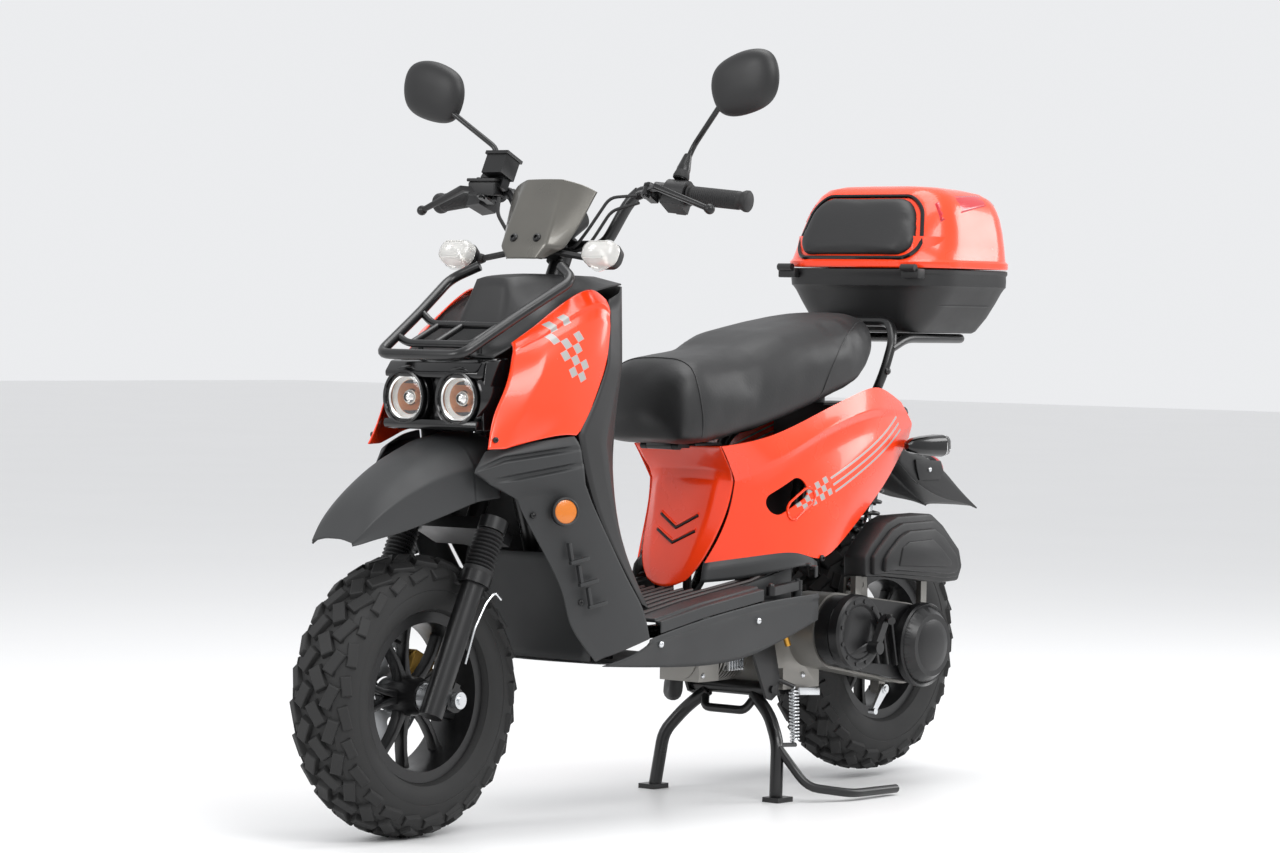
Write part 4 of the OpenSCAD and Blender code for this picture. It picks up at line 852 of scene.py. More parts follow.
@dataclass
class Wheel:
    """A cast wheel with a chunky block-tread tyre."""

    prefix: str
    body: str
    x: float
    z: float
    radius: float
    pitches: int = 25
    half_wide: float = 62.0
    bead: float = 127.0

    def centre(self) -> Vector:
        """The wheel's centre in metres."""
        return at(self.x, 0, self.z)

    def crown(self, y: float) -> float:
        """How far the tread face drops below the full radius at Y."""
        return 1.2 * (abs(y) / 16) ** 2 + 6.5 * max(0.0, (abs(y) - 30) / 26) ** 2

    def tyre(self) -> BMesh:
        """Builds the carcass and its tread blocks.

        Returns:
            The tyre.
        """
        r, w, b = self.radius, self.half_wide, self.bead
        half = [
            (0, r - 9), (22, r - 10.5), (42, r - 15), (52, r - 24), (57, r - 36), (60.5, r - 50),
            (61.2, r - 56),
            (60.2, r - 57), (61.2, r - 60), (w - 1, r - 68), (60, r - 78), (56, b + 24), (54.2, b + 20),
            (53.6, b + 21), (48, b + 17), (42, b + 15), (39.4, b + 10), (39.4, b + 1.5),
        ]
        profile = half + [(-a, q) for a, q in reversed(half[1:])]
        body = ring(profile[::-1], self.centre(), Vector((0, 1, 0)), 120)
        blocks = [body]
        for i in range(self.pitches):
            turn = 2 * math.pi * i / self.pitches
            half_turn = math.pi / self.pitches
            for side in (-1, 1):
                shift = half_turn if side > 0 else 0.0
                blocks.append(self.block(turn + shift, 14 * side, 25, 44, 8, 30 * side))
                blocks.append(self.block(turn + shift + half_turn, 37 * side, 22, 44, 9, -24 * side))
                blocks.append(self.block(turn + shift + 0.3 * half_turn, 52 * side, 20, 36 if i % 2 else 44,
                    12, 10 * side))
        return merged(blocks)

    def block(self, turn: float, y: float, wide: float, long: float, high: float, skew: float) -> BMesh:
        """One tread block.

        Args:
            turn: Its angle round the axle in radians.
            y: Its place across the tread.
            wide: Its width.
            long: Its length along the tread.
            high: Its height.
            skew: Its turn about its own middle in degrees.

        Returns:
            The block.
        """
        bm = bmesh.new()
        bmesh.ops.create_cube(bm, size=1.0)
        bmesh.ops.scale(bm, vec=(long * MM, wide * MM, (high + 4) * MM), verts=bm.verts[:])
        top = [v for v in bm.verts if v.co.z > 0]
        bmesh.ops.scale(bm, vec=(0.86, 0.84, 1), verts=top)
        edges = [e for e in bm.edges if all(v.co.z > 0 for v in e.verts)]
        bmesh.ops.bevel(bm, geom=edges, offset=1.4 * MM, segments=1, profile=0.5, affect="EDGES", material=-1)
        slope = math.atan2(self.crown(abs(y) + 4) - self.crown(abs(y) - 4), 8.0)
        if abs(y) > 45:
            slope = math.radians(52)
        face = self.radius - self.crown(y) - (7 if abs(y) > 45 else 0)
        rise = face - (high + 4) / 2
        place = (
            Matrix.Translation(self.centre())
            @ Matrix.Rotation(turn, 4, "Y")
            @ Matrix.Translation((0, y * MM, rise * MM))
            @ Matrix.Rotation(-math.copysign(slope, y), 4, "X")
            @ Matrix.Rotation(math.radians(skew), 4, "Z")
        )
        bmesh.ops.transform(bm, matrix=place, verts=bm.verts[:])
        return bm

    def rim(self) -> BMesh:
        """Builds the rim with its split spokes, hub and valve.

        Returns:
            The rim.
        """
        b = self.bead
        c, way = self.centre(), Vector((0, 1, 0))
        shapes = [
            ring(
                [(-44, b + 15), (-44, b - 3), (-30, b - 6), (-12, b - 9), (12, b - 9), (30, b - 6), (44, b - 3),
                 (44, b + 15), (41, b + 15.6), (40, b + 4), (28, b - 1), (-28, b - 1), (-40, b + 4),
                 (-41, b + 15.6)],
                c, way, 96,
            ),
            ring(
                [(-44, 17), (-44, 27), (-30, 31), (-14, 33), (14, 33), (30, 31), (44, 27), (44, 17)], c, way, 48
            ),
        ]
        for i in range(5):
            for lean in (-1, 1):
                shapes.append(self.spoke(i * 2 * math.pi / 5 + 0.31, lean))
        shapes.append(bar(c + Vector((0.052, 0, 0.105)), c + Vector((0.045, 0.03, 0.09)), 3.4, 12))
        return merged(shapes)

    def spoke(self, turn: float, lean: int) -> BMesh:
        """One arm of a split spoke, from the hub to the rim.

        Args:
            turn: The spoke's angle in radians.
            lean: Which of its two arms.

        Returns:
            The arm.
        """
        bm = bmesh.new()
        bmesh.ops.create_grid(bm, x_segments=1, y_segments=5, size=0.5)
        steps = sorted({round(v.co.y, 4) for v in bm.verts})
        reach = [26.0, 44.0, 66.0, 88.0, 106.0, self.bead - 5]
        drift = [5.0, 6.5, 11.0, 19.0, 28.0, 36.0]
        half = [8.0, 6.2, 5.2, 5.0, 5.6, 9.0]
        for vert in bm.verts:
            i = steps.index(round(vert.co.y, 4))
            vert.co = Vector(((lean * drift[i] + math.copysign(half[i], vert.co.x)) * MM, -0.011,
                reach[i] * MM))
        made = bmesh.ops.extrude_face_region(bm, geom=bm.faces[:])
        verts = [g for g in made["geom"] if isinstance(g, bmesh.types.BMVert)]
        bmesh.ops.translate(bm, vec=(0, 0.022, 0), verts=verts)
        bmesh.ops.recalc_face_normals(bm, faces=bm.faces[:])
        bmesh.ops.bevel(
            bm, geom=[e for e in bm.edges if abs(e.verts[0].co.y - e.verts[1].co.y) < 1e-6], offset=1.8 * MM,
            segments=2, profile=0.5, affect="EDGES", material=-1,
        )
        bmesh.ops.transform(
            bm, matrix=Matrix.Translation(self.centre()) @ Matrix.Rotation(turn, 4, "Y"), verts=bm.verts[:]
        )
        return bm

    def dress(self) -> None:
        """Adds the tyre and the rim."""
        piece(f"{self.prefix}_tyre_blocks", self.tyre(), TYRE_RUBBER, self.body, (f"{self.prefix}_tyre",),
            sharp=28)
        piece(f"{self.prefix}_cast_rim", self.rim(), BLACK_CAST, self.body, (f"{self.prefix}_rim",), sharp=32)


# ---------- fork ----------


@dataclass
class Fork:
    """The raked telescopic fork with rubber gaiters, caliper and disc."""

    leg_y: float = 95.0
    lead: float = 28.0
    low: float = 213.5
    high: float = 289.5
    ribs: int = 9

    def gaiter(self, side: int) -> BMesh:
        """One bellows with a collar at its foot.

        Args:
            side: 1 for the left leg, -1 for the right.

        Returns:
            The bellows.
        """
        start = steer_at(self.lead, side * self.leg_y, self.low)
        way = steer_at(self.lead, side * self.leg_y, self.high) - start
        long = self.high - self.low
        profile: list[tuple[float, float]] = [(0, 17), (0, 25.6), (8, 25.6), (9, 21)]
        pitch = (long - 12) / self.ribs
        for i in range(self.ribs):
            base = 9 + i * pitch
            for t, r in ((0.2, 22.2), (0.38, 24.6), (0.5, 25.2), (0.62, 24.6), (0.8, 22.2), (1.0, 20.2)):
                profile.append((base + t * pitch, r))
        profile += [(long - 1, 21), (long, 20), (long, 17)]
        return turned(profile, start, way, 40)

    def brackets(self) -> BMesh:
        """Cable guide wire and clip on the left leg.

        Returns:
            The bent wire.
        """
        route = [(12, 118, 60), (20, 121, 120), (14, 122, 168), (4, 124, 192), (-14, 126, 186)]
        return tube([steer_at(*p) for p in route], 2.0, 8, 8)

    def dress(self) -> None:
        """Adds the fork's pieces."""
        bellows = merged([self.gaiter(1), self.gaiter(-1)])
        boots = piece("fork_bellows", bellows, SOFT_RUBBER, "steering", ("fork_gaiters",), sharp=60)
        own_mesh(boots)
        refined("steering_stem", BLACK_CAST, 1.2, "steering_yoke")
        refined("fork_lowers", BLACK_CAST, 1.2, "fork_legs")
        refined("front_caliper", GOLD_CAST, 1.5, "brake_caliper")
        refined("front_axle", ZINC, 0.8, "axle_and_nuts")
        refined("front_brake_disc", DISC_STEEL, 0.4, "brake_disc")
        piece("fork_wire_guide", self.brackets(), ZINC, "fork_slider")


# ---------- front body ----------


@dataclass
class FrontBody:
    """Beak, lamp housing, side panels, cowl, rack and leg shields."""

    lamp_y: float = 59.0
    lamp_z: float = 729.0
    lamp_r: float = 46.0

    def fender(self) -> BMesh:
        """The beak with its crowned top, side scoops and ribs.

        Returns:
            The open shell.
        """
        def arch(x: float, w: float, zb: float, wc: float, zc: float, wt: float, zt: float,
            z0: float) -> list[Point]:
            """Half a section from the left edge to the right one."""
            mid = ((w + wc) / 2 - 1.5, (zb + zc) / 2)
            half = [(x, w, zb), (x, mid[0], mid[1]), (x, wc, zc), (x, wt, zt), (x, wt * 0.5, (zt + z0) / 2 + 2)]
            return half + [(x, 0.0, z0)] + mirrored_points(half)[::-1]
        rows = [
            arch(182, 46, 492, 45.5, 497, 32, 500, 503),
            arch(170, 53, 494, 51, 508, 38, 514, 518),
            arch(150, 60, 500, 57, 528, 42, 541, 546),
            arch(122, 67, 506, 63, 549, 45, 566, 571),
            arch(90, 74, 513, 69, 569, 48, 588, 594),
            arch(40, 84, 528, 78, 592, 55, 616, 625),
            arch(-10, 91, 543, 85, 607, 62, 635, 646),
            arch(-50, 94, 555, 90, 614, 68, 648, 660),
            arch(-58, 95.5, 557, 91.5, 617, 69, 651, 662),
            arch(-64, 94.5, 558, 90.5, 618, 70, 652, 664),
            arch(-72, 96, 560, 92, 619, 71, 655, 666),
            arch(-122, 96, 564, 94, 624, 76, 664, 674),
        ]
        return cage(rows, (0, 0, 1), sharp_rows=(8, 9), sharp_cols=(2, 8))

    def lamp(self, side: int) -> list[tuple[str, BMesh, Finish]]:
        """One headlight's reflector, ring, bulb, lens and bezel.

        Args:
            side: 1 for the left lamp, -1 for the right.

        Returns:
            Name, shape and finish of each piece.
        """
        c = at(0, side * self.lamp_y, self.lamp_z)
        face = Vector((1, 0, 0))
        r = self.lamp_r
        tag = "left" if side > 0 else "right"
        return [
            (f"lamp_bezel_{tag}", ring(
                [(-60, r - 1), (-50, r + 0.2), (-47, r - 0.5), (-46, r - 4), (-49, r - 6), (-60, r - 7)], c,
                face
            ), GLOSS_BLACK),
            (f"lamp_rim_{tag}", ring(
                [(-58, r - 6.5), (-53, r - 6.5), (-51.5, r - 9), (-53, r - 12), (-58, r - 12)], c, face
            ), REFLECTOR),
            (f"lamp_white_ring_{tag}", ring(
                [(-66, r - 16), (-58, r - 12), (-56, r - 10), (-58, r - 9), (-68, r - 14)], c, face
            ), FROSTED),
            (f"lamp_amber_bowl_{tag}", turned(
                [(-92, 0), (-92, 12), (-84, 20), (-74, 27), (-64, r - 14), (-62, r - 12), (-66, r - 11),
                    (-94, 16),
                 (-94, 0)], c, face
            ), AMBER_RING),
            (f"lamp_bulb_{tag}", turned(
                [(-94, 0), (-94, 9), (-76, 13), (-68, 14.5), (-61, 12), (-57, 7), (-56, 0)], c, face, 32
            ), REFLECTOR),
            (f"lamp_lens_{tag}", turned(
                [(-55, 0), (-55.4, 20), (-57, r - 8), (-60, r - 7), (-59, r - 8.5), (-57.4, 20), (-57, 0)],
                c, face
            ), CLEAR),
        ]

    def housing(self) -> BMesh:
        """The black lamp surround with a brow, a lip and two deep round wells.

        Returns:
            The surround.
        """
        brow = [(-50, 763), (-49, 772), (-62, 789), (-88, 796), (-112, 797), (-112, 770), (-80, 763)]
        lip = [(-50, 676), (-46, 684), (-49, 693), (-80, 694), (-112, 690), (-112, 676)]
        parts = [plate(brow, -104, 104, 2.5), plate(lip, -104, 104, 2.5)]
        for side in (-1, 1):
            low, high = sorted((side * 98, side * 108))
            parts.append(plate([(-64, 676), (-60, 730), (-68, 790), (-122, 797), (-122, 676)], low, high, 2.0))
            parts.append(ring(
                [(-120, 47.5), (-58, 47.5), (-53, 48.2), (-52, 51), (-56, 53.5), (-120, 53.5)],
                at(0, side * self.lamp_y, self.lamp_z), Vector((1, 0, 0)),
            ))
        parts.append(plate([(-66, 690), (-66, 768), (-70, 768), (-70, 690)], -12, 12, 0.8))
        for side in (-1, 1):
            for z0, z1 in ((690, 702), (756, 768)):
                low, high = sorted((side * 10, side * 100))
                parts.append(brick((-76, low, z0 - 4), (-68, high, z1 + 4), 1.0))
        parts.append(brick((-124, -104, 690), (-119, 104, 790), 1.0))
        return merged(parts)

    def side_panel(self) -> BMesh:
        """The left orange panel with its stepped flange, groove and creases.

        Returns:
            The open shell.
        """
        rows: Rows = [
            [(-129, 108, 823), (-176, 118, 852), (-232, 124, 888), (-290, 130, 916), (-312, 136, 915),
                (-326, 148, 898)],
            [(-126, 114, 816), (-176, 130, 845), (-236, 138, 880), (-292, 146, 906), (-314, 152, 901),
                (-325, 156, 888)],
            [(-124, 116, 810), (-174, 140, 838), (-236, 150, 872), (-292, 158, 896), (-312, 160, 890),
                (-323, 160, 878)],
            [(-122, 117, 806), (-174, 138, 832), (-236, 149, 865), (-292, 157, 888), (-312, 160, 882),
                (-321, 161, 870)],
            [(-118, 119, 800), (-170, 146, 824), (-234, 160, 852), (-290, 166, 868), (-308, 167, 862),
                (-318, 165, 852)],
            [(-106, 126, 778), (-156, 156, 800), (-222, 171, 822), (-280, 174, 832), (-300, 173, 826),
                (-309, 170, 820)],
            [(-88, 132, 745), (-140, 163, 762), (-206, 175, 780), (-266, 178, 790), (-288, 177, 788),
                (-297, 175, 784)],
            [(-66, 126, 706), (-112, 158, 716), (-176, 176, 732), (-232, 179, 742), (-252, 179, 740),
                (-264, 178, 730)],
            [(-54, 130, 672), (-86, 144, 676), (-150, 168, 684), (-196, 177, 694), (-220, 179, 690),
                (-238, 179, 684)],
            [(-44, 136, 648), (-78, 142, 648), (-112, 148, 656), (-160, 168, 668), (-196, 176, 672),
                (-218, 178, 670)],
        ]
        return cage(rows, (0.3, 1, 0), sharp_rows=(2, 3, 4), sharp_cols=(1,))

    def wing(self) -> BMesh:
        """The left leg shield with its grooves and its bevelled front corner.

        Returns:
            The open shell.
        """
        rows: Rows = [
            [(-62, 113, 643), (-84, 124, 650), (-126, 146, 657), (-170, 168, 664), (-214, 176, 669)],
            [(-44, 113, 622), (-78, 137, 640), (-126, 158, 648), (-174, 174, 655), (-220, 180, 660)],
            [(-40, 113, 616), (-80, 139, 636), (-128, 159, 643), (-176, 176, 650), (-222, 181, 655)],
            [(-38, 113, 612), (-82, 133, 633), (-130, 152, 640), (-178, 169, 647), (-224, 182, 651)],
            [(-37, 113, 609), (-84, 134, 629), (-131, 153, 636), (-180, 170, 643), (-225, 182, 647)],
            [(-36, 113, 607), (-86, 141, 625), (-132, 161, 632), (-181, 178, 639), (-226, 183, 643)],
            [(-56, 116, 596), (-100, 143, 606), (-144, 163, 614), (-190, 179, 622), (-228, 184, 628)],
            [(-60, 117, 593), (-104, 137, 602), (-146, 156, 610), (-192, 172, 618), (-229, 184, 624)],
            [(-66, 118, 590), (-108, 137, 598), (-150, 156, 606), (-194, 173, 614), (-230, 185, 620)],
            [(-72, 120, 586), (-112, 144, 594), (-154, 164, 602), (-196, 181, 610), (-230, 186, 616)],
            [(-128, 128, 562), (-142, 136, 566), (-174, 160, 572), (-206, 180, 580), (-232, 188, 588)],
            [(-133, 130, 548), (-152, 141, 548), (-184, 164, 550), (-222, 182, 552), (-248, 190, 556)],
            [(-146, 139, 518), (-164, 147, 518), (-196, 166, 520), (-238, 184, 520), (-274, 190, 520)],
            [(-179, 145, 472), (-196, 153, 472), (-226, 168, 473), (-268, 187, 474), (-304, 192, 476)],
            [(-223, 154, 404), (-240, 161, 405), (-268, 172, 407), (-314, 189, 410), (-350, 192, 414)],
            [(-223, 160, 359), (-244, 164, 361), (-280, 174, 365), (-338, 190, 374), (-382, 192, 380)],
            [(-252, 166, 320), (-270, 170, 324), (-306, 178, 332), (-358, 190, 344), (-396, 192, 350)],
            [(-287, 172, 286), (-300, 174, 291), (-328, 182, 298), (-376, 190, 312), (-405, 192, 320)],
        ]
        return cage(rows, (0.4, 1, 0), sharp_rows=(2, 3, 4, 5, 6, 7, 8, 9, 10, 11), sharp_cols=(1,))

    def steps(self) -> BMesh:
        """Raised treads down the left leg shield.

        Returns:
            The treads.
        """
        bars = []
        for i in range(3):
            x, z = -222 - 22 * i, 486 - 38 * i
            lean = Matrix.Rotation(math.radians(-14), 4, "Z") @ Matrix.Rotation(math.radians(12), 4, "Y")
            bars.append(brick((x - 24, 177 + 3 * i, z - 29), (x + 15, 186 + 2.2 * i, z - 23), 1.2, lean))
            bars.append(brick((x + 9, 171 + 3.4 * i, z - 27), (x + 15, 180 + 2.8 * i, z + 4), 1.2, lean))
        return merged(bars)

    def cowl(self) -> BMesh:
        """The tray under the rack, the hood and the inner leg panel.

        Returns:
            The open shells.
        """
        tray: Rows = [
            [(-86, 104, 799), (-86, 70, 799), (-86, 46, 803), (-86, 0, 804), (-86, -46, 803),
                (-86, -70, 799), (-86, -104, 799)],
            [(-130, 106, 816), (-130, 70, 806), (-142, 48, 814), (-144, 0, 816), (-142, -48, 814),
                (-130, -70, 806), (-130, -106, 816)],
            [(-180, 116, 848), (-180, 76, 832), (-176, 44, 858), (-178, 0, 862), (-176, -44, 858),
                (-180, -76, 832), (-180, -116, 848)],
            [(-214, 122, 872), (-212, 80, 858), (-200, 34, 932), (-199, 0, 934), (-200, -34, 932),
                (-212, -80, 858), (-214, -122, 872)],
            [(-290, 128, 910), (-290, 88, 904), (-276, 52, 940), (-274, 0, 944), (-276, -52, 940),
                (-290, -88, 904), (-290, -128, 910)],
            [(-398, 121, 926), (-398, 90, 932), (-398, 60, 938), (-398, 0, 940), (-398, -60, 938),
                (-398, -90, 932), (-398, -121, 926)],
        ]
        inner: Rows = [
            [(-400.6, 119, 921), (-401, 60, 925), (-401, 0, 926), (-401, -60, 925), (-400.6, -119, 921)],
            [(-368, 152, 790), (-380, 70, 790), (-384, 0, 790), (-380, -70, 790), (-368, -152, 790)],
            [(-334, 159, 650), (-352, 70, 650), (-360, 0, 650), (-352, -70, 650), (-334, -159, 650)],
            [(-340, 159, 560), (-360, 70, 560), (-368, 0, 560), (-360, -70, 560), (-340, -159, 560)],
            [(-368, 159, 470), (-386, 70, 470), (-394, 0, 470), (-386, -70, 470), (-368, -159, 470)],
            [(-431, 159, 368), (-438, 70, 368), (-440, 0, 368), (-438, -70, 368), (-431, -159, 368)],
        ]
        flank: Rows = [
            [(-331, 150, 898), (-366, 146, 910), (-400, 121, 921)],
            [(-300, 176, 790), (-340, 172, 790), (-366, 153, 790)],
            [(-267, 179, 728), (-316, 176, 726), (-350, 156, 720)],
            [(-222, 179, 671), (-290, 182, 660), (-334, 160, 650)],
            [(-251, 186, 560), (-310, 184, 560), (-340, 160, 560)],
            [(-306, 188, 480), (-340, 184, 470), (-368, 160, 470)],
            [(-386, 189, 381), (-410, 184, 372), (-431, 160, 367)],
        ]
        sides = add_mirror(cage(flank, (0, 1, 0), sharp_rows=(1, 3), sharp_cols=(1,)))
        return merged([
            cage(tray, (0, 0, 1), sharp_rows=(3,), sharp_cols=(2, 4)),
            cage(inner, (-1, 0, 0)),
            sides,
        ])

    def rack(self) -> BMesh:
        """The front carrier's tubes.

        Returns:
            The welded tubes.
        """
        def run(points: Sequence[Point], radius: float, bend: float) -> BMesh:
            """One tube through drawing points."""
            return tube([at(*p) for p in points], radius, bend, 20)
        hoop = [(-273, 92, 953), (-250, 138, 930), (-140, 112, 868), (-21, 92, 801)]
        rear = [(-150, 116, 873), (-142, 80, 851)]
        front = [(-76, 100, 831), (-70, 72, 819)]
        tubes = [
            run(hoop + mirrored_points(hoop)[::-1], 8.8, 24),
            run(rear + mirrored_points(rear)[::-1], 6.6, 16),
            run(front + mirrored_points(front)[::-1], 6.6, 16),
        ]
        for side in (-1, 1):
            tubes.append(run([(-70, 66 * side, 818), (-142, 66 * side, 850)], 5.6, 0))
            tubes.append(run([(-96, 66 * side, 804.3), (-96, 66 * side, 829)], 5, 0))
        tubes.append(run([(-142, -12, 850), (-70, -12, 818)], 5.6, 0))
        return merged(tubes)

    def dress(self) -> None:
        """Adds the front body's pieces."""
        piece("beak_fender", self.fender(), GREY_PP, "chassis", ("front_fender",), 3, 3.0)
        piece("lamp_surround", self.housing(), GLOSS_BLACK, "chassis", ("headlight_panel",), sharp=34)
        for side in (1, -1):
            for name, shape, finish in self.lamp(side):
                piece(name, shape, finish, "chassis", ("headlights",), sharp=50)
        piece("orange_front_panels", add_mirror(self.side_panel()), ORANGE_FRONT, "chassis",
            ("front_side_panels",), 3, 2.6)
        piece("leg_shields", add_mirror(self.wing()), GREY_PP, "chassis", ("leg_shield",), 3, 2.6)
        piece("leg_shield_treads", add_mirror(self.steps()), GREY_PP, "chassis")
        piece("cowl_and_hood", self.cowl(), BLACK_PP, "chassis", ("front_cowl",), 2, 2.6)
        piece("front_carrier", self.rack(), POWDER_BLACK, "chassis", ("front_rack",), sharp=50)
        self.small_parts()

    def small_parts(self) -> None:
        """Adds the reflectors and the panel screws."""
        lens, bezel, screws = [], [], []
        for side in (1, -1):
            way = Vector((0.42, side * 0.9, 0.05))
            c = at(-188, side * 180.5, 543)
            lens.append(turned([(6, 0), (6, 17), (4.4, 20), (1, 20)], c, way, 48))
            bezel.append(ring([(0, 19.5), (5.4, 20), (6.4, 22), (5, 24), (-3, 24.5), (-3, 19.5)], c, way, 48))
            for x, y, z, w in ((-58, 139, 663, (0.5, 0.85, 0)), (-150, 144, 536, (0.6, 0.8, 0)),
                (-250, 166, 388, (0.5, 0.85, 0))):
                screws.append(screw_head(at(x, side * y, z), Vector((w[0], side * w[1], w[2])), 5))
        piece("amber_reflectors", merged(lens), AMBER, "chassis", sharp=50)
        piece("reflector_bezels", merged(bezel), BLACK_PP, "chassis", sharp=40)
        piece("front_screws", merged(screws), BLACK_CAST, "chassis", sharp=40)


# ---------- floor ----------


@dataclass
class Floor:
    """Footboard with its ribbed mat, skirts, belly and folding pegs."""

    skirt_y: float = 192.0
    ribs: int = 13

    def skirts(self) -> BMesh:
        """The lower covers: skirts, splash panel and belly.

        Returns:
            The open shells.
        """
        y = self.skirt_y
        skirt: Rows = [
            [(-408, y, 319), (-440, y, 327), (-560, y, 348), (-640, y, 358), (-724, y, 369), (-800, y, 373),
                (-886, y, 377)],
            [(-404, y + 1, 312), (-440, y + 1, 318), (-560, y + 1, 338), (-640, y + 1, 348),
                (-724, y + 1, 358), (-800, y + 1, 364), (-888, y + 1, 370)],
            [(-403, y - 2, 308), (-440, y - 2, 313), (-560, y - 2, 332), (-640, y - 2, 342),
                (-724, y - 2, 352), (-800, y - 2, 358), (-888, y - 2, 364)],
            [(-370, 186, 292), (-430, 188, 294), (-560, 189, 298), (-640, 190, 304), (-720, 190, 316),
                (-800, 190, 334), (-889, 191, 354)],
            [(-300, 176, 277), (-400, 178, 270), (-560, 180, 262), (-640, 181, 266), (-700, 182, 272),
                (-800, 187, 300), (-888, 190, 329)],
        ]
        splash: Rows = [
            [(-262, 100, 470), (-258, 60, 466), (-258, -60, 466), (-262, -100, 470)],
            [(-292, 140, 404), (-294, 60, 404), (-294, -60, 404), (-292, -140, 404)],
            [(-300, 150, 350), (-302, 60, 350), (-302, -60, 350), (-300, -150, 350)],
            [(-294, 150, 284), (-294, 60, 284), (-294, -60, 284), (-294, -150, 284)],
        ]
        belly: Rows = [
            [(-294, 150, 280.6), (-294, 0, 279), (-294, -150, 280.6)],
            [(-330, 170, 277.6), (-330, 0, 272), (-330, -170, 277.6)],
            [(-560, 174, 266), (-560, 0, 262), (-560, -174, 266)],
            [(-660, 174, 269), (-660, 0, 266), (-660, -174, 269)],
        ]
        return merged([
            add_mirror(cage(skirt, (0, 1, 0), sharp_rows=(1, 2))),
            cage(splash, (1, 0, 0)),
            cage(belly, (0, 0, -1)),
        ])

    def tray(self) -> BMesh:
        """Peg trays moulded into the covers on both sides.

        Returns:
            The trays with their pins.
        """
        shapes = []
        for side in (1, -1):
            def box(x0: float, x1: float, y0: float, y1: float, z0: float, z1: float) -> BMesh:
                """A box on this side."""
                low, high = sorted((side * y0, side * y1))
                return brick((x0, low, z0), (x1, high, z1), 1.0)
            low, high = sorted((side * 134, side * 138))
            shapes += [box(-876, -728, 138, 186, 362, 366)]
            shapes.append(plate([(-728, 362), (-728, 392), (-876, 422), (-876, 362)], low, high, 0.8))
            shapes += [box(-730, -726, 138, 186, 366, 384)]
            shapes.append(bar(at(-862, side * 162, 366), at(-862, side * 162, 403), 4))
            shapes.append(bar(at(-862, side * 162, 366), at(-862, side * 162, 381.4), 9))
        return merged(shapes)

    def mat(self) -> BMesh:
        """Raised ribs of the foot mat.

        Returns:
            The ribs.
        """
        line = [(-452, 355), (-560, 374), (-760, 400), (-800, 410)]
        shapes = []
        for i in range(self.ribs):
            y = -132 + 264 * i / (self.ribs - 1)
            stop = len(line) if abs(y) > 100 else 3
            route = [at(x + (110 if stop == 3 and x == -760 else 0), y,
                z + (-14 if stop == 3 and x == -760 else 0) + 1.2)
                     for x, z in line[:stop]]
            shapes.append(tube(route, 3.2, 0, 8))
        return merged(shapes)

    def dress(self) -> None:
        """Adds the floor's pieces."""
        refined("floorboard", GREY_PP, 2.0, "footboard")
        piece("skirts_and_belly", self.skirts(), GREY_PP, "chassis", ("lower_covers",), 2, 2.6)
        piece("peg_trays", self.tray(), GREY_PP, "chassis", sharp=40)
        piece("mat_ribs", self.mat(), MAT_RUBBER, "chassis", sharp=50)
        refined("left_peg", BLACK_CAST, 1.0, "left_folding_peg")
        refined("right_peg", BLACK_CAST, 1.0, "right_folding_peg")
        heads = []
        for side in (1, -1):
            for x, z in ((-437, 309), (-711, 336)):
                heads.append(screw_head(at(x, side * 191.5, z), Vector((0, side, 0)), 6, False))
        piece("skirt_screws", merged(heads), ZINC, "chassis", sharp=50)


# ---------- rear body ----------


